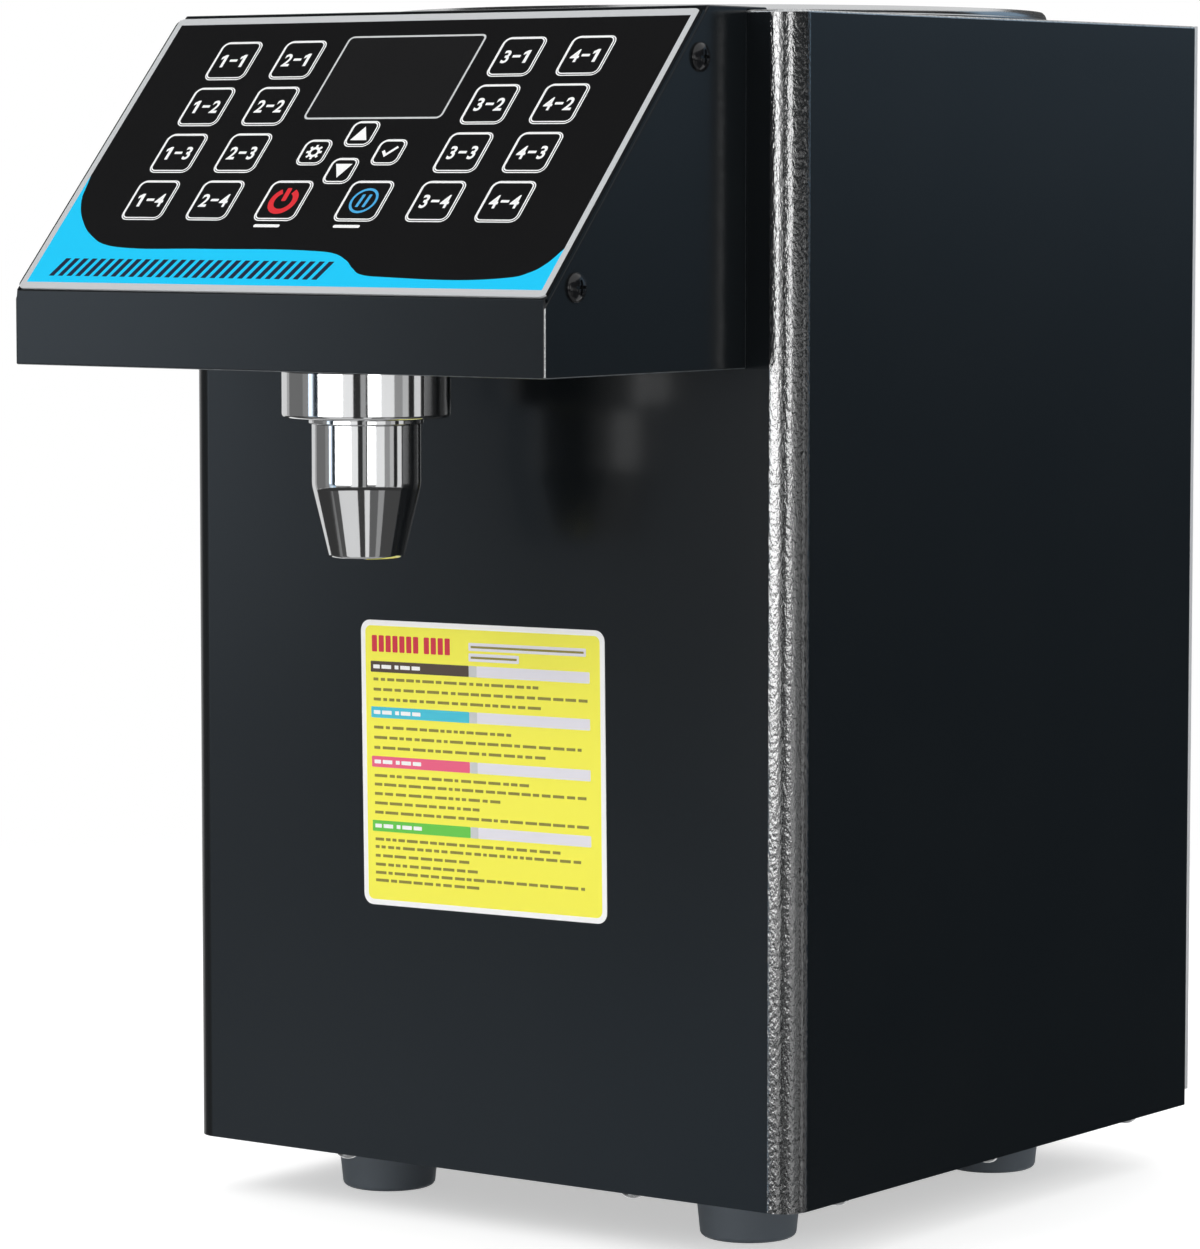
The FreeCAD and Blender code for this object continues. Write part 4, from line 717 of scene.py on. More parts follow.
# Mica heater wrapped in foil: crumpled warm metal.
HEATER_FOIL = Finish(
    "heater_foil", "#B9B6AC", "#CFCCC2", 0.34, 0.1, metallic=1.0, patch_mm=6, depth_mm=0.05,
)
# Translucent silicone rubber: milky, with light going into it.
SILICONE = Finish(
    "silicone", "#DAD9D3", "#E6E5E0", 0.5, see_through=0.25, specular=0.4, ior=1.41,
    depth_mm=0.004,
)
# Moulded phenolic and ABS: black with a fine spark-eroded texture.
BLACK_PLASTIC = Finish(
    "black_plastic", "#1B1B1D", "#222224", 0.42, 0.06, grain_mm=0.6, depth_mm=0.02,
)
# Glossy red polycarbonate of the rocker: smooth under a clear top.
ROCKER_PLASTIC = Finish(
    "rocker_plastic", "#B31218", "#C4161D", 0.2, 0.04, depth_mm=0.002, coat=0.3,
)
# Hobbed and ground steel: even grey with a clean shine.
GEAR_STEEL = Finish("gear_steel", "#A6A7AA", "#B7B8BB", 0.26, 0.08, metallic=1.0, depth_mm=0.004)
# Bead-blasted cast metal: pale and matt with a visible tooth.
PUMP_METAL = Finish(
    "pump_metal", "#B9BBBD", "#C6C8CA", 0.46, 0.08, metallic=1.0, grain_mm=0.5, depth_mm=0.03,
)
# Lacquered steel motor can: dark, with a soft metal sheen.
MOTOR_CASE = Finish("motor_case", "#2B2D30", "#34363A", 0.36, 0.06, depth_mm=0.015, metallic=0.2)
# Rolled aluminium case of the supply: pale grey, half shiny.
SUPPLY_CASE = Finish("supply_case", "#B6B8BA", "#C5C7C9", 0.36, 0.08, metallic=1.0, depth_mm=0.01)
# Nitrile rubber: black and matt.
SEAL_RUBBER = Finish("seal_rubber", "#1A1A1A", "#222222", 0.7, specular=0.3)
# Natural-filled rubber: matt bluish grey, painted lighter than its own tone to stand in for light
# bounced up from the floor.
FOOT_RUBBER = Finish(
    "foot_rubber", "#6C757E", "#79828B", 0.6, 0.08, specular=0.4, grain_mm=0.7, depth_mm=0.03,
    sheen=0.1,
)
# Bright zinc plate on the pan-head screws: small hard glints.
ZINC_SCREW = Finish(
    "zinc_screw", "#C2C4C5", "#D2D3D4", 0.24, 0.08, metallic=1.0, patch_mm=3, depth_mm=0.004,
)
# Black zinc plate on the cheek screws: dark but shiny.
BLACK_SCREW = Finish("black_screw", "#0D0E10", "#141518", 0.16, 0.05, patch_mm=3, depth_mm=0.006)
# Pad-printed white on the rocker: flat and even.
SYMBOL_WHITE = Finish("symbol_white", "#E8E8E6", "#F2F2F0", 0.4, depth_mm=0)

# Finishes by the record's material slot: most share its name, five go by another.
FINISH_OF_SLOT = {finish.name: finish for finish in (
    ZINC_SHEET, BARE_STEEL, DISPLAY_BLOCK, CIRCUIT_BOARD, SEAL_RUBBER, CHROME_PLATE, SPRING_STEEL,
    POLISHED_STEEL, HEATER_FOIL, SILICONE, BLACK_PLASTIC, ROCKER_PLASTIC, GEAR_STEEL, PUMP_METAL,
    MOTOR_CASE, SUPPLY_CASE, FOOT_RUBBER, ZINC_SCREW, BLACK_SCREW,
)} | {
    "black_coat": POWDER_COAT, "overlay_film": KEY_FILM, "smoked_window": SMOKED_ACRYLIC,
    "printed_card": CARD_WHITE, "hose": SILICONE,
}

# --- shared places, in millimetres ---

FRONT = -81.25
REAR = 191.25
HALF_WIDTH = 135.0
FLOOR = 21.0
TOP = 435.3
GAUGE = 1.2
FIT = 0.3  # left between nested sheets
SLOPE = (92.9, 100.1)  # run and rise of the head's slope
PANEL_FOOT = (0, -195.013, 338.379)  # middle of the tray's lower edge, underside

PANEL = shifted(*PANEL_FOOT) @ Matrix.Rotation(math.atan2(SLOPE[1], SLOPE[0]), 4, "X")
NOZZLE = shifted(0, -145.15, 313.1)
TANK = shifted(0, 67.35, TOP)


def on_panel(x: float, v: float, out: float = 0.0) -> Matrix:
    """Place something on the sloping panel, in millimetres across, up the slope and out."""
    return PANEL @ shifted(x, v, out)


# --- sub-assemblies ---


@dataclass
class Cabinet:
    """Folded wrap, floor, top and bare rear sheet. Sizes in millimetres."""

    corner: float = 10.0
    corner_steps: int = 20
    lip: float = 14.0
    flange: float = 10.0
    window: tuple[float, ...] = (-95.0, 95.0, 326.15, 422.15)  # left, right, low and high
    crest: float = 0.85  # rounding of the wrap's top edge
    edge: float = 0.35  # rounding of the flat sheets' edges
    lean: float = 0.03  # share of a normal from which a face belongs to a bend
    upright: float = 0.1  # share up or down below which a face is upright

    def walls(self) -> Shape:
        """Fold the front, sides and rear lips, with the opening to the head.

        Returns:
            The walls' mesh, as thick as the sheet.
        """
        bm = bmesh.new()
        half, lip = HALF_WIDTH, HALF_WIDTH - self.lip
        walk = (
            (-lip, REAR), (-half, REAR), (-half, FRONT), (half, FRONT), (half, REAR), (lip, REAR),
        )
        verts = [bm.verts.new(mm(x, y, FLOOR)) for x, y in walk]
        for pair in zip(verts, verts[1:]):
            bm.edges.new(pair)
        bevel(bm, verts[2:4], self.corner, self.corner_steps, "VERTICES")
        rise = bmesh.ops.extrude_edge_only(bm, edges=list(bm.edges))
        bmesh.ops.translate(bm, vec=mm(0, 0, TOP - FLOOR), verts=new_verts(rise))
        left, right, low, high = self.window
        for x in (left, right):
            cut(bm, (x, 0, 0), (1, 0, 0))
        for z in (low, high):
            cut(bm, (0, 0, z), UP_AXIS)
        opening = []
        for face in bm.faces:
            x, y, z = face.calc_center_median() / MM
            if left < x < right and low < z < high and y < FRONT + self.corner:
                opening.append(face)
        bmesh.ops.delete(bm, geom=opening, context="FACES")
        bmesh.ops.recalc_face_normals(bm, faces=bm.faces)
        wall = next(face for face in bm.faces if abs(face.normal.x) > 0.9)
        if wall.normal.x * wall.calc_center_median().x < 0:
            bmesh.ops.reverse_faces(bm, faces=bm.faces)
        bmesh.ops.solidify(bm, geom=list(bm.faces), thickness=GAUGE * MM)
        bmesh.ops.recalc_face_normals(bm, faces=bm.faces)
        return bm

    def hem(self) -> Shape:
        """Fold the bottom flange.

        Returns:
            The flange's mesh.
        """
        out, deep, reach = HALF_WIDTH - GAUGE / 2, REAR - GAUGE - FIT, HALF_WIDTH - self.flange
        front, notch = FRONT + self.flange, self.corner + GAUGE
        return thicken(outline([
            (-out, FRONT + notch), (-out + notch, FRONT + GAUGE / 2),
            (out - notch, FRONT + GAUGE / 2), (out, FRONT + notch), (out, deep), (reach, deep),
            (reach, front), (-reach, front), (-reach, deep), (-out, deep),
        ]), FLOOR, FLOOR + GAUGE)

    def wrap(self) -> None:
        """Join walls and flange, and mark the glossier right-hand bend and the top edge's painted
        highlight.
        """
        bm = self.walls()
        high = (TOP - 0.1) * MM
        crest = [
            one for one in bm.edges
            if all(self.outside(vert.co / MM) and vert.co.z > high for vert in one.verts)
        ]
        for face in bevel(bm, crest, self.crest, EDGE_STEPS):
            # the rounded top edge takes the bright painted highlight
            face.material_index = 2
        add_to(bm, self.hem())
        for face in bm.faces:
            bent = min(face.normal.x, abs(face.normal.y)) > self.lean
            upright = abs(face.normal.z) < self.upright
            near = face.calc_center_median().y < (FRONT + self.corner) * MM
            if face.material_index == 0 and bent and upright and near:
                face.material_index = 1
        publish("cabinet_wrap_coated", bm, "cabinet_wrap", POWDER_COAT, BEND_COAT, EDGE_HIGHLIGHT_PAINT)

    def outside(self, spot: Vector) -> bool:
        """Say whether a point in millimetres lies on the wrap's outer side."""
        past = (abs(spot.x) - HALF_WIDTH + self.corner, FRONT + self.corner - spot.y)
        return abs(math.hypot(max(past[0], 0), max(past[1], 0)) - self.corner) < 0.05

    def build(self) -> None:
        """Build the wrap and soften the floor, the top and the bare rear sheet."""
        self.wrap()
        for node in ("base_plate", "top_plate", "rear_panel"):
            publish(f"{node}_sheet", copy_of(node, self.edge), node)


@dataclass
class Head:
    """Folded head that overhangs the front. Sizes in millimetres."""

    edge: float = 1.2
    front: float = -196.85
    half: float = 115.5
    brow: float = 336.4  # height of the front's top edge
    tuck: float = 114.6  # half width over which that edge meets the tray
    rise: Pair = (2.8, 1.65)  # how far it is drawn up, outside and inside
    folds: Pair = (313.2, 436.4)  # heights past which an edge belongs to a fold
    hole_edge: float = 6.0  # edges shorter than this belong to round holes
    slant: float = 0.2  # share of a normal from which a face leans that way
    front_band: float = 2.0  # widths of the neighbourhoods of the edge strips that carry painted highlights
    under_band: float = 2.8
    rear_band: float = 1.5
    cheek_band: float = 1.0
    screw_edge: float = 0.15

    def shell(self) -> None:
        """Copy the folded shell and round its outer edges, with painted highlights on the front
        corners, the lower fold and the cheeks' rear edges.
        """
        bm = copy_of("head_shell")
        outer = [
            one for one in bm.edges
            if one.is_manifold and one.calc_face_angle(0) > SHARP and self.is_outer(one)
        ]
        for face in bevel(bm, outer, self.edge, 4, clamp=True):
            spot, lean = face.calc_center_median() / MM, face.normal
            upright = abs(lean.z) < self.slant < min(abs(lean.x), abs(lean.y))
            folded = lean.z < -self.slant and spot.z < self.folds[0] + self.under_band
            side = abs(spot.x) > self.half - self.cheek_band and spot.z < TOP - FIT
            # front corners take the bright painted highlight; the lower fold and the cheeks' rear
            # edges take the duller one
            if upright and spot.y < self.front + self.front_band:
                face.material_index = 1
            elif folded or (side and spot.y > FRONT - self.rear_band):
                face.material_index = 2
        self.meet_tray(bm)
        publish("head_shell_coated", bm, "head_shell", POWDER_COAT, EDGE_HIGHLIGHT_PAINT, DULL_EDGE_HIGHLIGHT)

    def meet_tray(self, bm: Shape) -> None:
        """Draw the front's top edge up to the tray's lower edge, short of the cheeks.

        Args:
            bm: The shell's mesh.
        """
        for side in (-1, 1):
            cut(bm, (side * self.tuck, 0, 0), (1, 0, 0))
        outside, inside = self.rise
        for vert in bm.verts:
            spot = vert.co / MM
            near = spot.y < self.front + GAUGE + NEAR and abs(spot.x) < self.tuck + NEAR
            if near and abs(spot.z - self.brow) < self.edge + 0.1:
                share = (spot.y - self.front) / GAUGE
                vert.co.z += (outside + (inside - outside) * share) * MM

    def is_outer(self, one: bmesh.types.BMEdge) -> bool:
        """Say whether an edge lies on the shell's outside.

        Args:
            one: The edge.

        Returns:
            True for the cheeks' rims and the folds across, but not for the hole's short edges.
        """
        first, second = ends = [vert.co / MM for vert in one.verts]
        low, high = self.folds
        cheek = all(abs(abs(spot.x) - self.half) < NEAR for spot in ends)
        across = abs(first.y - second.y) < NEAR and abs(first.z - second.z) < NEAR
        fold = all(
            abs(spot.y - self.front) < NEAR or spot.z > high or spot.z < low for spot in ends
        )
        return (cheek or (across and fold)) and (first - second).length >= self.hole_edge

    def build(self) -> None:
        """Build the shell and weld the cheeks' screws."""
        self.shell()
        publish("cheek_screws_black", copy_of("cheek_screws", self.screw_edge), "cheek_screws")


class Symbol(Enum):
    """Generic signs on the keys without figures."""

    POWER = "power"
    PAUSE = "pause"
    UP = "up"
    DOWN = "down"
    SETTINGS = "set"
    KEEP = "save"


@dataclass
class Keypad:
    """Sloping tray, printed film, key caps and display. Sizes in millimetres."""

    key_side: float = 17.5
    small_side: float = 10.9
    key_radius: float = 2.65
    cap_low: float = 1.65  # heights count from the tray's underside
    cap_high: float = 2.2
    cap_edge: float = 0.18
    cap_line: float = 0.5  # printed line round the cap
    cap_gap: float = 0.16
    post_steps: int = 24
    post_radius: float = 2.5
    post_low: float = -4.8
    film_top: float = 2.0
    ink: float = 0.02
    columns: tuple[float, ...] = (-77.6, -48.3, 48.3, 77.6)
    rows: int = 4
    first_row: float = 41.9
    pitch: float = 22.35
    figure_size: float = 8.1
    figure_weight: float = 0.2
    figure_width: float = 0.88
    figure_spread: float = 4.35
    figure_drop: float = 0.2
    one: tuple = (
        (0.8, -3.0), (0.8, 3.0), (-0.3, 3.0), (-1.7, 2.0), (-1.7, 0.7), (-0.5, 1.45), (-0.5, -3.0),
    )
    dash: Pair = (3.4, 1.1)
    dash_radius: float = 0.1
    display: Triple = (59.0, 38.0, 100.1)  # width, height and middle up the slope
    key_outline: Triple = (1.2, 3.2, 0.46)  # gap on both sides, radius and line
    display_outline: Triple = (1.9, 2.4, 0.8)
    display_gap: float = 0.3
    pane_radius: float = 1.35
    pane_edge: float = 0.12
    tray_edge: float = 0.25
    strokes: tuple[float, float, int] = (-103.0, 19.0, 30)  # from, to and how many
    stroke: tuple[float, ...] = (0.28, 1.7, 4.1)  # half width in steps, lean, half height
    stroke_row: float = 10.2
    underlines: tuple[Triple, ...] = ((-18.8, 30.3, 0.6), (16.2, 30.3, 0.6))
    underline: Pair = (11.5, 1.3)
    arrow: Triple = (3.6, 3.1, 3.3)  # half width, foot and tip
    tick: tuple = (
        (-3.1, 0.2), (-1.0, -2.4), (3.3, 2.0), (2.5, 2.8), (-0.9, -0.7), (-2.2, 0.95),
    )
    power_ring: Triple = (4.9, 2.2, 1.15)  # radius, half its opening, half its line
    power_bar: Triple = (2.0, 6.0, 0.5)  # bars and teeth: width, height and radius
    power_shifts: Pair = (-0.2, 2.7)
    pause_ring: Pair = (5.7, 4.7)
    pause_bar: Triple = (1.25, 5.8, 0.3)
    pause_lean: float = 0.12
    pause_spread: float = 1.45
    gear_ring: Pair = (2.4, 1.3)
    gear_steps: int = 32
    teeth: int = 8
    tooth: Triple = (1.0, 1.1, 0.1)
    tooth_reach: float = 2.8
    ring_steps: int = 48
    symbols: dict = field(default_factory=lambda: {
        Symbol.POWER: (-17.6, 41.9), Symbol.PAUSE: (17.6, 41.9), Symbol.UP: (0.0, 73.1),
        Symbol.DOWN: (0.0, 55.8), Symbol.SETTINGS: (-16.4, 64.45), Symbol.KEEP: (16.4, 64.45),
    })

    def dose_places(self) -> dict[tuple[int, int], Pair]:
        """List the figured keys' places by column and row."""
        return {
            (column, row): (x, self.first_row + (self.rows - row) * self.pitch)
            for column, x in enumerate(self.columns, 1) for row in range(1, self.rows + 1)
        }

    def side_of(self, kind: Symbol) -> float:
        """Give a signed key's side."""
        return self.key_side if kind in (Symbol.POWER, Symbol.PAUSE) else self.small_side

    def print_on(
        self, bm: Shape, shape: Shape, spot: Pair, height: float, finish: int,
    ) -> None:
        """Lay a flat shape, printed in the ink of a material index, on the panel at a height."""
        add_to(bm, thicken(shape, 0, self.ink), on_panel(*spot, height), finish)

    def frame(self, width: float, height: float, style: Triple) -> Shape:
        """Draw a rounded frame round something, by its gap, radius and line."""
        gap, radius, line = style
        return border(plate((width + gap, height + gap), radius), line)

    def film(self) -> None:
        """Cover the tray with its printed film, outlines round the keys and the strokes."""
        bm = copy_of("keypad_overlay")
        top = self.film_top
        keys = [(spot, self.key_side) for spot in self.dose_places().values()]
        keys += [(spot, self.side_of(kind)) for kind, spot in self.symbols.items()]
        for spot, side in keys:
            self.print_on(bm, self.frame(side, side, self.key_outline), spot, top, 1)
        width, height, centre = self.display
        self.print_on(bm, self.frame(width, height, self.display_outline), (0, centre), top, 2)
        start, end, count = self.strokes
        step = (end - start) / count
        share, lean, tall = self.stroke
        half = step * share
        for number in range(count):
            stroke = outline([
                (-half - lean, -tall), (half - lean, -tall), (half + lean, tall),
                (-half + lean, tall),
            ])
            self.print_on(bm, stroke, (start + (number + 0.5) * step, self.stroke_row), top, 3)
        for x, v, radius in self.underlines:
            self.print_on(bm, plate(self.underline, radius), (x, v), top, 1)
        publish("keypad_film", bm, "keypad_overlay", FILM, WHITE_INK, GREY_INK, NAVY_INK)

    def cap(self, spot: Pair, side: float) -> Shape:
        """Mould one key cap with its post and the inner half of its outline.

        Args:
            spot: Its place across and up the slope.
            side: Its side.

        Returns:
            The cap's mesh, still without its sign.
        """
        bm = bmesh.new()
        block = plate((side, side), self.key_radius)
        add_to(bm, thicken(block, self.cap_low, self.cap_high, self.cap_edge), on_panel(*spot))
        post = disc(self.post_radius, steps=self.post_steps)
        add_to(bm, thicken(post, self.post_low, self.cap_low), on_panel(*spot))
        inset = side - self.cap_gap
        inner = plate((inset, inset), self.key_radius - self.cap_gap / 2)
        self.print_on(bm, border(inner, self.cap_line), spot, self.cap_high, 1)
        return bm

    def dose_keys(self) -> None:
        """Build the sixteen figured keys."""
        for (column, row), (x, v) in self.dose_places().items():
            bm = self.cap((x, v), self.key_side)
            for figure, side in ((column, -1), (row, 1)):
                spot = (x + side * self.figure_spread, v - self.figure_drop)
                self.print_on(bm, self.figure(figure), spot, self.cap_high, 1)
            self.print_on(bm, plate(self.dash, self.dash_radius), (x, v), self.cap_high, 1)
            name = f"key_{column}_{row}"
            publish(f"{name}_cap", bm, name, KEY_FILM, WHITE_INK)

    def figure(self, number: int) -> Shape:
        """Draw one plain figure, with a flag on the one.

        Args:
            number: The figure.

        Returns:
            A flat mesh.
        """
        if number == 1:
            return outline(self.one)
        bm = lettering(str(number), self.figure_size, self.figure_weight)
        bmesh.ops.scale(bm, vec=(self.figure_width, 1, 1), verts=bm.verts)
        return bm

    def sign(self, kind: Symbol) -> list[tuple[Shape, float, float]]:
        """Draw a key's sign.

        Args:
            kind: Which sign.

        Returns:
            Flat shapes with their shifts across and up from the key's centre.
        """
        if kind in (Symbol.UP, Symbol.DOWN):
            way = 1 if kind is Symbol.UP else -1
            half, foot, tip = self.arrow
            corners = [(-half, -foot * way), (half, -foot * way), (0, tip * way)]
            return [(outline(corners[::way]), 0, 0)]
        if kind is Symbol.POWER:
            drop, lift = self.power_shifts
            bar = plate(self.power_bar[:2], self.power_bar[2])
            return [(self.open_ring(*self.power_ring), 0, drop), (bar, 0, lift)]
        if kind is Symbol.PAUSE:
            shapes = [(disc(*self.pause_ring, self.ring_steps), 0, 0)]
            for side in (-1, 1):
                bar = plate(self.pause_bar[:2], self.pause_bar[2])
                for vert in bar.verts:
                    vert.co.x += vert.co.y * self.pause_lean
                shapes.append((bar, side * self.pause_spread, 0))
            return shapes
        if kind is Symbol.SETTINGS:
            shapes = [(disc(*self.gear_ring, self.gear_steps), 0, 0)]
            for number in range(self.teeth):
                tooth = plate(self.tooth[:2], self.tooth[2])
                angle = number * 360 / self.teeth
                tooth.transform(turn(angle, "Z") @ shifted(0, self.tooth_reach, 0))
                shapes.append((tooth, 0, 0))
            return shapes
        return [(outline(self.tick), 0, 0)]

    def open_ring(self, radius: float, gap: float, half: float) -> Shape:
        """Draw a ring that is open at its top.

        Args:
            radius: Radius of its middle line.
            gap: Half the width of the opening.
            half: Half the width of the stroke.

        Returns:
            A flat mesh.
        """
        bm = bmesh.new()
        steps = self.ring_steps
        bmesh.ops.create_circle(bm, cap_ends=False, segments=steps, radius=radius * MM)
        opening = [vert for vert in bm.verts if vert.co.y > 0 and abs(vert.co.x) < gap * MM]
        bmesh.ops.delete(bm, geom=opening, context="VERTS")
        outer = new_verts(bmesh.ops.extrude_edge_only(bm, edges=list(bm.edges)))
        inner = [vert for vert in bm.verts if vert not in set(outer)]
        for group, way in ((outer, 1), (inner, -1)):
            for vert in group:
                vert.co += vert.co.normalized() * half * MM * way
        return bm

    def signed_keys(self) -> None:
        """Build the keys that carry a sign."""
        inks = {Symbol.POWER: RED_INK, Symbol.PAUSE: SKY_INK}
        for kind, (x, v) in self.symbols.items():
            bm = self.cap((x, v), self.side_of(kind))
            for shape, across, up in self.sign(kind):
                self.print_on(bm, shape, (x + across, v + up), self.cap_high, 2)
            name = f"key_{kind.value}"
            publish(f"{name}_cap", bm, name, KEY_FILM, WHITE_INK, inks.get(kind, WHITE_INK))

    def window(self) -> None:
        """Set the smoked window into the film."""
        width, height, centre = self.display
        bm = plate((width - self.display_gap, height - self.display_gap), self.pane_radius)
        thicken(bm, GAUGE, self.film_top, self.pane_edge)
        bm.transform(on_panel(0, centre))
        publish("display_window_pane", bm, "display_window")

    def tray(self) -> None:
        """Coat the upper side of the bare tray."""
        bm = copy_of("control_panel_plate", self.tray_edge)
        for face in bm.faces:
            if (PANEL.inverted() @ face.calc_center_median()).z > 0:
                face.material_index = 1
        publish("control_panel_tray", bm, "control_panel_plate", ZINC_SHEET, POWDER_COAT)

    def build(self) -> None:
        """Build every piece of the keypad."""
        self.tray()
        self.film()
        self.dose_keys()
        self.signed_keys()
        self.window()


class CardInk(IntEnum):
    """Material indices of the card, in the order of its finishes."""

    WHITE = 0
    YELLOW = 1
    CRIMSON = 2
    OLIVE = 3
    BROWN = 4
    CYAN = 5
    PINK = 6
    GREEN = 7
    PALE = 8
    GREY = 9


@dataclass
class NoticeCard:
    """Laminated card on the front, with plain bars and dashes. Sizes in millimetres."""

    size: Pair = (109.0, 103.8)
    centre: Pair = (1.7, 167.4)
    radius: float = 4.0
    rim: float = 2.0
    yellow_radius: float = 2.4
    gauge: float = 0.26
    ink: float = 0.012
    tilt: float = 0.7
    left: float = -50.2
    middle: Pair = (-5.5, -2.0)
    right: float = 48.0
    heading: tuple = ((-49.5, 7), (-25.7, 4))  # starts and stroke counts
    heading_step: float = 3.15
    heading_width: float = 2.35
    heading_row: Pair = (40.4, 6.0)
    tags: tuple = (((-5.5, 46.5), 42.4), ((-5.5, 17.0), 38.6))
    tag: float = 2.9
    tag_line: Pair = (1.0, 0.8)
    label_row: Pair = (1.3, 1.4)
    label: tuple = ((1.2, 4.2), (5.0, 9.4), (11.0, 12.8), (13.6, 18.0), (18.8, 22.6))
    blocks: tuple = (  # bar's lower edge, its ink and the rows of dashes below it
        (33.0, CardInk.BROWN, (29.9, 26.2, 22.6)), (16.4, CardInk.CYAN, (12.4, 8.7, 5.0)),
        (-1.6, CardInk.PINK, (-5.2, -8.4, -11.8, -15.2, -18.6)),
        (-25.0, CardInk.GREEN, (-28.4, -31.2, -34.4, -37.6, -40.6, -43.4)),
    )
    bar: float = 4.0
    bar_corner: Pair = (0.12, 0.4)  # share of a bar's height, and the most
    dash: float = 1.05
    dash_lengths: Pair = (1.6, 6.0)
    dash_gaps: Pair = (0.8, 1.3)
    shortest: float = 3.0
    full_end: float = 1.0
    ragged_ends: Pair = (6, 55)
    seed: int = 7

    def place(self, *spot: float) -> Matrix:
        """Stand a point of the card's own XY plane up against the cabinet's front."""
        middle = shifted(self.centre[0], FRONT, self.centre[1])
        return middle @ turn(-self.tilt, "Y") @ turn(90, "X") @ shifted(*spot)

    def block(
        self, bm: Shape, span: Pair, low: float, tall: float, finish: CardInk, level: int = 2,
    ) -> None:
        """Print one bar.

        Args:
            bm: The card's mesh.
            span: Its left and right ends.
            low: Its lower edge.
            tall: Its height.
            finish: Its ink.
            level: How many layers of ink lie there with it.
        """
        share, most = self.bar_corner
        bar = plate((span[1] - span[0], tall), min(tall * share, most))
        height = self.gauge + self.ink * (level - 1)
        spot = (sum(span) / 2, low + tall / 2, height)
        add_to(bm, thicken(bar, 0, self.ink), self.place(*spot), int(finish))

    def dashes(self, bm: Shape, row: float, end: float, draw: random.Random) -> None:
        """Print one row of short plain dashes, their lengths and gaps drawn at random.

        Args:
            bm: The card's mesh.
            row: The row's lower edge.
            end: Where the row stops.
            draw: Source of the random lengths.
        """
        start = self.left + self.label[0][0]
        while start < end - self.shortest:
            stop = min(start + draw.uniform(*self.dash_lengths), end)
            self.block(bm, (start, stop), row, self.dash, CardInk.OLIVE)
            start = stop + draw.uniform(*self.dash_gaps)

    def build(self) -> None:
        """Build the card."""
        draw = random.Random(self.seed)
        bm = bmesh.new()
        add_to(bm, thicken(plate(self.size, self.radius), 0, self.gauge), self.place(0, 0, 0))
        width, height = (side - 2 * self.rim for side in self.size)
        yellow = thicken(plate((width, height), self.yellow_radius), 0, self.ink)
        add_to(bm, yellow, self.place(0, 0, self.gauge), CardInk.YELLOW)
        for start, count in self.heading:
            for stroke in range(count):
                left = start + stroke * self.heading_step
                span = (left, left + self.heading_width)
                self.block(bm, span, *self.heading_row, CardInk.CRIMSON)
        inset, line = self.tag_line
        for (start, stop), low in self.tags:
            self.block(bm, (start, stop), low, self.tag, CardInk.PALE)
            span = (start + inset, stop - inset)
            self.block(bm, span, low + inset, line, CardInk.OLIVE, 3)
        first, second = self.middle
        for row, finish, lines in self.blocks:
            for span, colour in (
                ((self.left, first), finish), (self.middle, CardInk.GREY),
                ((second, self.right), CardInk.PALE),
            ):
                self.block(bm, span, row, self.bar, colour)
            lift, tall = self.label_row
            for start, stop in self.label:
                span = (self.left + start, self.left + stop)
                self.block(bm, span, row + lift, tall, CardInk.WHITE, 3)
            for number, line in enumerate(lines):
                short = self.full_end if number % 3 == 1 else draw.uniform(*self.ragged_ends)
                end = self.right - short
                self.dashes(bm, line, end, draw)
        publish(
            "notice_card_print", bm, "notice_card", CARD_WHITE, CARD_YELLOW, CARD_CRIMSON,
            CARD_OLIVE, CARD_BROWN, CARD_CYAN, CARD_PINK, CARD_GREEN, CARD_PALE, GREY_INK,
        )


@dataclass
class Nozzle:
    """Chromed flange and spout. Heights run down from the head's underside, in millimetres."""

    steps: int = 128
    flange: tuple = (
        (3.5, 23.2, 0.0), (4.9, 23.2, 0.3), (4.9, 9.2, 0.0), (12.0, 9.2, 0.4), (12.0, -1.0, 0.0),
        (29.3, -1.0, 0.5), (29.3, -17.3, 1.4), (20.0, -17.3, 0.6), (20.0, -19.3, 0.3),
        (6.0, -19.3, 0.0), (6.0, -4.0, 0.0), (3.5, -4.0, 0.0),
    )
    barrel: tuple = (
        (12.0, -19.3, 0.0), (19.0, -19.3, 0.4), (19.0, -40.8, 1.3), (13.0, -65.8, 1.1),
        (7.0, -65.8, 0.6), (7.0, -52.1, 0.0), (12.0, -52.1, 0.0),
    )

    def build(self) -> None:
        """Turn both chromed pieces."""
        for node, profile in (("nozzle_flange", self.flange), ("nozzle_barrel", self.barrel)):
            publish(f"{node}_chromed", turned(profile, self.steps, NOZZLE), node)


@dataclass
class TankAndLid:
    """Spun tank, its lid and knob. Heights from the cabinet's top, in millimetres."""

    lid_steps: int = 160
    knob_steps: int = 64
    lid: tuple = (
        (0.0, -3.2, 0.0), (38.0, -3.2, 1.2), (41.6, 4.0, 1.2), (122.0, 4.0, 0.0),
        (123.4, 2.6, 0.9), (123.4, 1.2, 0.3), (124.7, 1.2, 0.25), (124.7, 0.4, 0.25),
        (122.6, 0.4, 0.0), (122.6, 2.2, 0.3), (121.6, 3.2, 0.3), (42.0, 3.2, 0.3),
        (38.4, -4.0, 0.3), (0.0, -4.0, 0.0),
    )
    knob: tuple = (
        (0.0, -3.2, 0.0), (11.0, -3.2, 0.0), (11.0, 0.0, 0.8), (18.0, 0.0, 0.6),
        (18.0, 3.4, 1.3), (0.0, 3.4, 0.0),
    )

    def build(self) -> None:
        """Turn the lid and its knob, and weld the tank's copy."""
        publish("lid_spun", turned(self.lid, self.lid_steps, TANK), "lid")
        publish("lid_knob_moulded", turned(self.knob, self.knob_steps, TANK), "lid_knob")
        publish("tank_spun", copy_of("tank"), "tank")


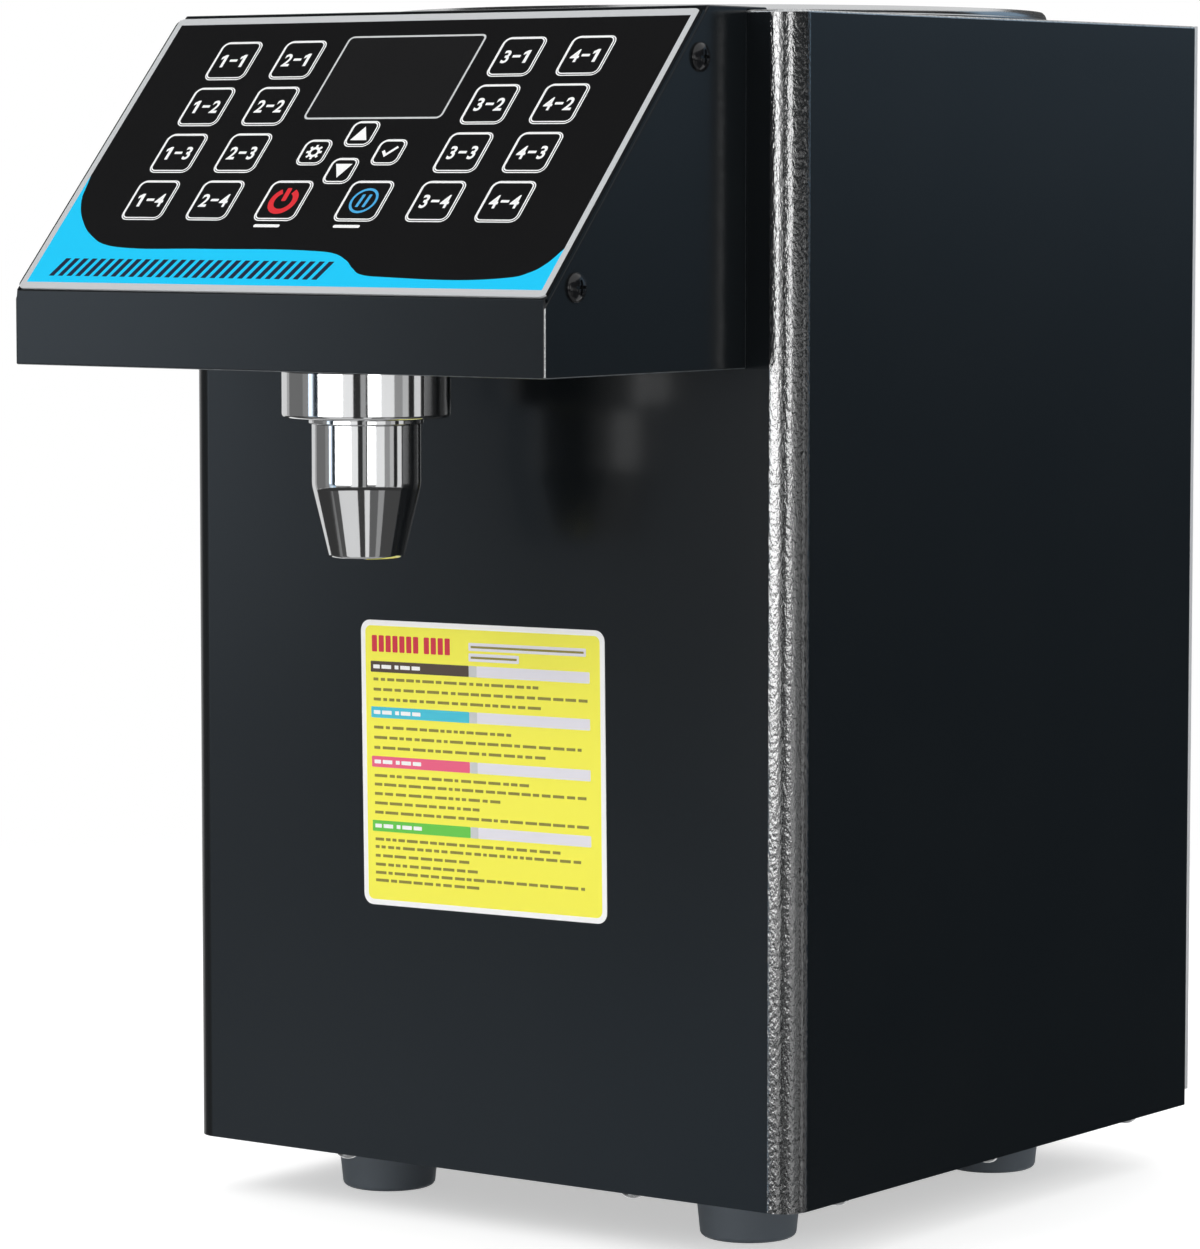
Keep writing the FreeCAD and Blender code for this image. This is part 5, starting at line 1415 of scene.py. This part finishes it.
@dataclass
class MainsFittings:
    """Inlet, switch and rocker on the rear sheet. Sizes in millimetres."""

    rocker_at: Triple = (12.0, 190.85, 116.0)
    throw: float = 10.0  # degrees
    lean: float = 10.1  # slant of each half of the rocker, in degrees
    mark_at: Pair = (3.45, 4.2)  # out of the pivot and along the rocker
    mark_depth: float = 0.05
    on_mark: Triple = (0.9, 4.0, 0.2)  # width, height and radius
    off_mark: Pair = (2.0, 1.2)  # outer and inner radius
    rocker_edge: float = 0.3
    frame_edge: float = 0.4

    def rocker(self) -> None:
        """Mould the rocker and print its plain on and off marks."""
        bm = copy_of("switch_rocker", self.rocker_edge)
        pivot = shifted(*self.rocker_at) @ turn(-self.throw, "X")
        facing = turn(180, "Z") @ turn(90, "X")
        out, up = self.mark_at
        bar = plate(self.on_mark[:2], self.on_mark[2])
        for side, mark in ((1, bar), (-1, disc(*self.off_mark))):
            lean = shifted(0, out, side * up) @ turn(-side * self.lean, "X")
            thicken(mark, -self.mark_depth, self.mark_depth)
            add_to(bm, mark, pivot @ lean @ facing, 1)
        publish("switch_rocker_moulded", bm, "switch_rocker", ROCKER_PLASTIC, SYMBOL_WHITE)

    def build(self) -> None:
        """Build every mains fitting."""
        for node in ("power_inlet", "switch_frame"):
            publish(f"{node}_moulded", copy_of(node, self.frame_edge), node)
        self.rocker()


@dataclass
class Fasteners:
    """Rubber feet and bright screws. Sizes in millimetres."""

    foot: tuple = (
        (2.2, 12.0, 0.0), (6.5, 12.0, 0.4), (6.5, 0.0, 0.5), (17.2, 0.0, 1.8), (19.5, 22.2, 0.0),
        (2.2, 22.2, 0.0),
    )
    foot_steps: int = 72
    spots: tuple = ((-82, -29.75), (82, -29.75), (-82, 134.25), (82, 134.25))
    screw_edge: float = 0.12

    def build(self) -> None:
        """Mould the feet and weld the screws."""
        bm = bmesh.new()
        for x, y in self.spots:
            add_to(bm, turned(self.foot, self.foot_steps, shifted(x, y, 0)))
        publish("feet_moulded", bm, "feet")
        screws = copy_of("pan_head_screws", self.screw_edge)
        publish("pan_head_screws_bright", screws, "pan_head_screws")


@dataclass
class InnerWorks:
    """Frame nodes whose shape is right and that only take their finish."""

    welded: tuple[str, ...] = (
        "valve_poppet", "pump_housing", "pump_cover", "pump_bracket", "pump_motor", "lid_seal",
        "heater_band", "suction_hose", "delivery_hose", "hose_clamps",
    )
    ledge: float = 261.0  # height of the spring's seat in millimetres
    travel: float = 3.0

    def spring(self) -> None:
        """Weld the valve spring's copy and give the piece a mesh of its own."""
        piece = publish("valve_spring_coil", copy_of("valve_spring"), "valve_spring")
        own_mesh(piece)

    def build(self) -> None:
        """Weld the round ones and dress all others."""
        for node in self.welded:
            publish(f"{node}_smooth", copy_of(node), node)
        self.spring()
        for node, thing in FRAME["nodes"].items():
            finish = FINISH_OF_SLOT[slot_of(node)].material()
            if not thing.material_slots:
                thing.data.materials.append(finish)
            for slot in thing.material_slots:
                slot.material = finish


# --- studio ---

WHITE = "#FFFFFF"
BOARD_RADIUS = 30.0  # metres
BOARD_FOOT = -7.0  # metres from the floor, downwards


@dataclass(frozen=True)
class Reflector:
    """A far curved board that only reflections see, from one compass angle to another.

    Angles are in degrees from the front towards the right. Rim points are radius and height in
    metres. Glow is a row of elevation in degrees and strength, blended in between.
    """

    start: float
    end: float
    glow: tuple[Pair, ...]
    tint: str = WHITE
    foot: Pair = (BOARD_RADIUS, BOARD_FOOT)
    head: Pair = (BOARD_RADIUS, 17.0)

    def shape(self) -> Shape:
        """Bend the board round the object.

        Returns:
            The board's mesh.
        """
        bm = bmesh.new()
        ends = [bm.verts.new((0, -radius, height)) for radius, height in (self.foot, self.head)]
        bm.edges.new(ends)
        start = Matrix.Rotation(math.radians(self.start), 3, "Z")
        bmesh.ops.rotate(bm, verts=ends, cent=ORIGIN, matrix=start)
        bmesh.ops.spin(
            bm, geom=everything(bm), cent=ORIGIN, axis=UP_AXIS,
            angle=math.radians(self.end - self.start), steps=16,
        )
        return bm


def even(strength: float) -> tuple[Pair, ...]:
    """Give a reflector one strength all over."""
    return ((0.0, strength),)


def lower(strength: float) -> tuple[Pair, ...]:
    """Give a reflector one strength up to the horizon and leave it dark above."""
    return ((-0.8, strength), (0.7, 0.07))


def emission(tree: Tree, strength: float | Socket, tint: str = WHITE) -> Socket:
    """Add an Emission shader and give its output."""
    return add(tree, "Emission", {"Color": linear(tint), "Strength": strength}).outputs[0]


@dataclass
class Studio:
    """Floor, world, lamps, reflectors and camera. Metres and degrees."""

    lens: float = 153.0  # millimetres, as the sensor
    sensor: float = 36.0
    shift: float = 0.0008
    camera_at: Triple = (1.14387, -1.58295, 0.38128)
    yaw: float = 35.981
    pitch: float = 4.9145
    ambient: float = 0.75
    floor_radius: float = 9.0
    floor_paint: str = "#EDEDED"
    floor_lift: float = 0.5
    floor_fade: Pair = (0.35, 1.1)
    reach: Pair = (-7.5, 17.5)  # heights between which the boards' glow is laid out
    target: Triple = (0, 0, 0.22)
    lamps: tuple = (
        ("key_lamp", (-1.2, -2.4, 1.9), 1.6, 24), ("right_lamp", (2.6, -0.6, 1.6), 1.6, 15),
        ("back_lamp", (-0.6, 2.6, 2.0), 1.8, 20),
    )
    main_glow: tuple = (
        (-13.0, 0.2), (-10.5, 0.3), (-7.0, 1.1), (-4.0, 3.8), (-0.5, 5.0), (3.5, 4.2), (9.0, 0.5),
    )
    second_glow: tuple = (
        (-13.0, 0.2), (-10.0, 0.15), (-7.0, 0.35), (-4.0, 2.0), (-0.5, 4.0), (3.5, 3.4), (9.0, 0.4),
    )
    side_glow: tuple = (
        (-13.0, 0.03), (-5.0, 0.06), (-2.0, 0.1), (0.0, 0.18), (2.0, 0.38), (10.0, 0.5),
    )
    left_glows: tuple = (
        ((-13, 0.9), (-9, 0.7), (-6, 0.55), (-3, 1.9), (3, 2.2)),
        ((-13, 1.2), (-9, 0.85), (-6, 0.45), (-3, 1.2), (3, 1.5)),
        ((-13, 1.2), (-9, 0.7), (-6, 0.2), (3, 0.25)),
        ((-13, 1.0), (-9, 0.5), (-6, 0.06), (3, 0.02)),
    )
    below: tuple = (
        (129, 262, 0.9), (-98, -60, 0.07), (-60, -42, 0.2), (-42, -27, 0.08), (-27, 18, 0.7),
        (18, 34, 0.05), (34, 46, 0.75), (46, 66, 0.12), (66, 80, 0.3), (80, 129, 0.06),
    )
    below_rims: Pair = (17.0, 6.0)
    below_rest: Pair = (0.04, 0.35)  # strengths outside and inside these rims
    above: tuple = (-122, -48, 0.03)
    above_rims: tuple = ((24.0, 18.0), (9.0, 27.0))
    sky: str = "#C3E3FF"
    haze: str = "#DCEBFA"

    def boards(self) -> list[Reflector]:
        """List the reflectors.

        Returns:
            Those round the object by their angle, then those below it and the one above it.
        """
        far_left, left, near_left, edge = self.left_glows
        ring = (
            (-141, -98, even(0.7)), (-98, -90, even(0.4)), (-90, -57, even(0.16)),
            (-57, -46, even(0.25)), (-46, -41, far_left, self.haze), (-41, -38.5, left, self.haze),
            (-38.5, -36, near_left, self.haze), (-36, -29.5, edge, self.sky),
            (-29.5, 6, self.main_glow), (6, 21, even(0.9)), (21, 31, even(0.03)),
            (31, 38, even(0.35)), (38, 41, even(0.03)), (41, 58, self.second_glow),
            (58, 77, lower(0.85)), (77, 89, lower(0.3)), (89, 98, lower(0.5)),
            (98, 107, even(0.02)), (107, 118, lower(0.7)), (118, 129, even(0.02)),
            (129, 137, lower(0.4)), (137, 172, self.side_glow, self.sky), (172, 219, lower(1.3)),
        )
        outer, inner = ((radius, BOARD_FOOT) for radius in self.below_rims)
        rim, centre = (BOARD_RADIUS, BOARD_FOOT), (0.01, BOARD_FOOT)
        skirt, hub = self.below_rest
        start, end, strength = self.above
        return [Reflector(*row) for row in ring] + [
            Reflector(first, last, even(level), WHITE, outer, inner)
            for first, last, level in self.below
        ] + [
            Reflector(0, 360, even(skirt), WHITE, rim, outer),
            Reflector(0, 360, even(hub), WHITE, inner, centre),
            Reflector(start, end, even(strength), WHITE, *self.above_rims),
        ]

    def glow(self, board: Reflector, name: str) -> bpy.types.Material:
        """Make a board shine by elevation, for reflections and the first bounce only.

        Args:
            board: The board.
            name: Name of the material.

        Returns:
            The material.
        """
        made = bpy.data.materials.new(name)
        tree = blank_tree(made)
        low, high = self.reach
        place = add(tree, "TexCoord").outputs["Object"]
        height = add(tree, "SeparateXYZ", {0: place}).outputs["Z"]
        share = add(tree, "MapRange", {0: height, 1: low, 2: high}).outputs[0]
        peak = max(strength for _, strength in board.glow)
        ramp = add(tree, "ValToRGB", {0: share})
        spots = ramp.color_ramp.elements
        spots.remove(spots[-1])
        for number, (elevation, strength) in enumerate(board.glow):
            rise = board.foot[0] * math.tan(math.radians(elevation))
            where = min(max((rise - low) / (high - low), 0.0), 1.0)
            spot = spots.new(where) if number else spots[0]
            spot.position = where
            spot.color = (*[strength / peak] * 3, 1.0)
        level = calc(tree, "MULTIPLY", ramp.outputs[0], peak)
        bounces = add(tree, "LightPath").outputs["Diffuse Depth"]
        strength = calc(tree, "MULTIPLY", level, calc(tree, "LESS_THAN", bounces, 0.5))
        add(tree, "OutputMaterial", {"Surface": emission(tree, strength, board.tint)})
        return made

    def reflector(self, number: int, board: Reflector) -> None:
        """Hang one reflector board.

        Args:
            number: Its number, for its name.
            board: Its shape and glow.
        """
        name = f"reflector_{number}"
        hung = in_scene(name, mesh_of(name, board.shape()))
        hung.data.materials.append(self.glow(board, name))
        hung.visible_camera = hung.visible_diffuse = False
        hung.visible_shadow = hung.visible_transmission = False

    def seen(self, tree: Tree) -> Socket:
        """Tell what the eye sees, straight or in a reflection, from what only gets light."""
        path = add(tree, "LightPath").outputs
        return calc(tree, "MAXIMUM", path["Is Camera Ray"], path["Is Glossy Ray"])

    def paper(self) -> bpy.types.Material:
        """Make the floor's paper: lifted to white for the eye but still holding the shadow.

        Returns:
            The material.
        """
        made = bpy.data.materials.new("studio_paper")
        tree = blank_tree(made)
        matt = add(tree, "BsdfDiffuse", {"Color": linear(self.floor_paint)}).outputs[0]
        seen = self.seen(tree)
        shine = emission(tree, calc(tree, "MULTIPLY", seen, self.floor_lift))
        both = add(tree, "AddShader", {0: matt, 1: shine}).outputs[0]
        place = add(tree, "TexCoord").outputs["Object"]
        far = add(tree, "VectorMath", {0: place}, operation="LENGTH").outputs["Value"]
        near_end, far_end = self.floor_fade
        share = add(
            tree, "MapRange", {0: far, 1: near_end, 2: far_end}, interpolation_type="SMOOTHSTEP"
        )
        fade = calc(tree, "MULTIPLY", share.outputs[0], seen)
        mixed = add(tree, "MixShader", {0: fade, 1: both, 2: emission(tree, 1.0)}).outputs[0]
        add(tree, "OutputMaterial", {"Surface": mixed})
        return made

    def floor(self) -> None:
        """Lay the pale floor."""
        bm = bmesh.new()
        bmesh.ops.create_circle(bm, cap_ends=True, segments=96, radius=self.floor_radius)
        laid = in_scene("studio_floor", mesh_of("studio_floor", bm))
        laid.data.materials.append(self.paper())
        laid.visible_glossy = False

    def world(self) -> None:
        """Make the world white to the eye and a soft fill to the object."""
        world = bpy.data.worlds.new("studio")
        tree = blank_tree(world)
        through = add(tree, "LightPath").outputs["Is Transmission Ray"]
        either = calc(tree, "MAXIMUM", self.seen(tree), through)
        level = add(tree, "MapRange", {0: either, 3: self.ambient, 4: 1.0}).outputs[0]
        sky = add(tree, "Background", {"Color": linear(WHITE), "Strength": level}).outputs[0]
        add(tree, "OutputWorld", {"Surface": sky})
        bpy.context.scene.world = world

    def lamp(self, name: str, where: tuple[float, ...], size: float, power: float) -> None:
        """Hang a soft square lamp that faces the object.

        Args:
            name: Its name.
            where: Its place in metres.
            size: Its side in metres.
            power: Its power in watts.
        """
        light = bpy.data.lights.new(name, "AREA")
        light.size = size
        light.energy = power
        thing = in_scene(name, light)
        aim(thing, where, Vector(self.target) - Vector(where))
        thing.visible_glossy = thing.visible_camera = False

    def camera(self) -> None:
        """Stand the camera at the three-quarter view."""
        data = bpy.data.cameras.new("camera")
        data.lens = self.lens
        data.sensor_width = self.sensor
        data.shift_y = self.shift
        data.clip_end = 50.0
        eye = in_scene("camera", data)
        yaw, pitch = math.radians(self.yaw), math.radians(self.pitch)
        level = math.cos(pitch)
        back = Vector((math.sin(yaw) * level, -math.cos(yaw) * level, math.sin(pitch)))
        aim(eye, self.camera_at, -back)
        bpy.context.scene.camera = eye

    def build(self) -> None:
        """Set up the whole studio."""
        self.camera()
        self.world()
        self.floor()
        for lamp in self.lamps:
            self.lamp(*lamp)
        for number, board in enumerate(self.boards()):
            self.reflector(number, board)
        bpy.context.scene.view_settings.view_transform = "Standard"


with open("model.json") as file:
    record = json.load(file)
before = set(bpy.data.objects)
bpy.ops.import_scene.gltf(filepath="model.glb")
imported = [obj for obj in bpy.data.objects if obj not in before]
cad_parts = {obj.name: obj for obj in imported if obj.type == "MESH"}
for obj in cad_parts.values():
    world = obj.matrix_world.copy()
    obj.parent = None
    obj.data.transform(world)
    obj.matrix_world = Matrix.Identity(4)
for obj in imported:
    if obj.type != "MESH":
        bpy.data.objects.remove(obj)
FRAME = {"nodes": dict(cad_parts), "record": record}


def main() -> None:
    """Build the studio and every sub-assembly."""
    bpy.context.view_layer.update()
    Studio().build()
    for part in (
        InnerWorks(), Cabinet(), Head(), Keypad(), NoticeCard(), Nozzle(), TankAndLid(),
        MainsFittings(), Fasteners(),
    ):
        part.build()
        LOG.info("%s done", type(part).__name__)


if __name__ == "__main__":
    main()
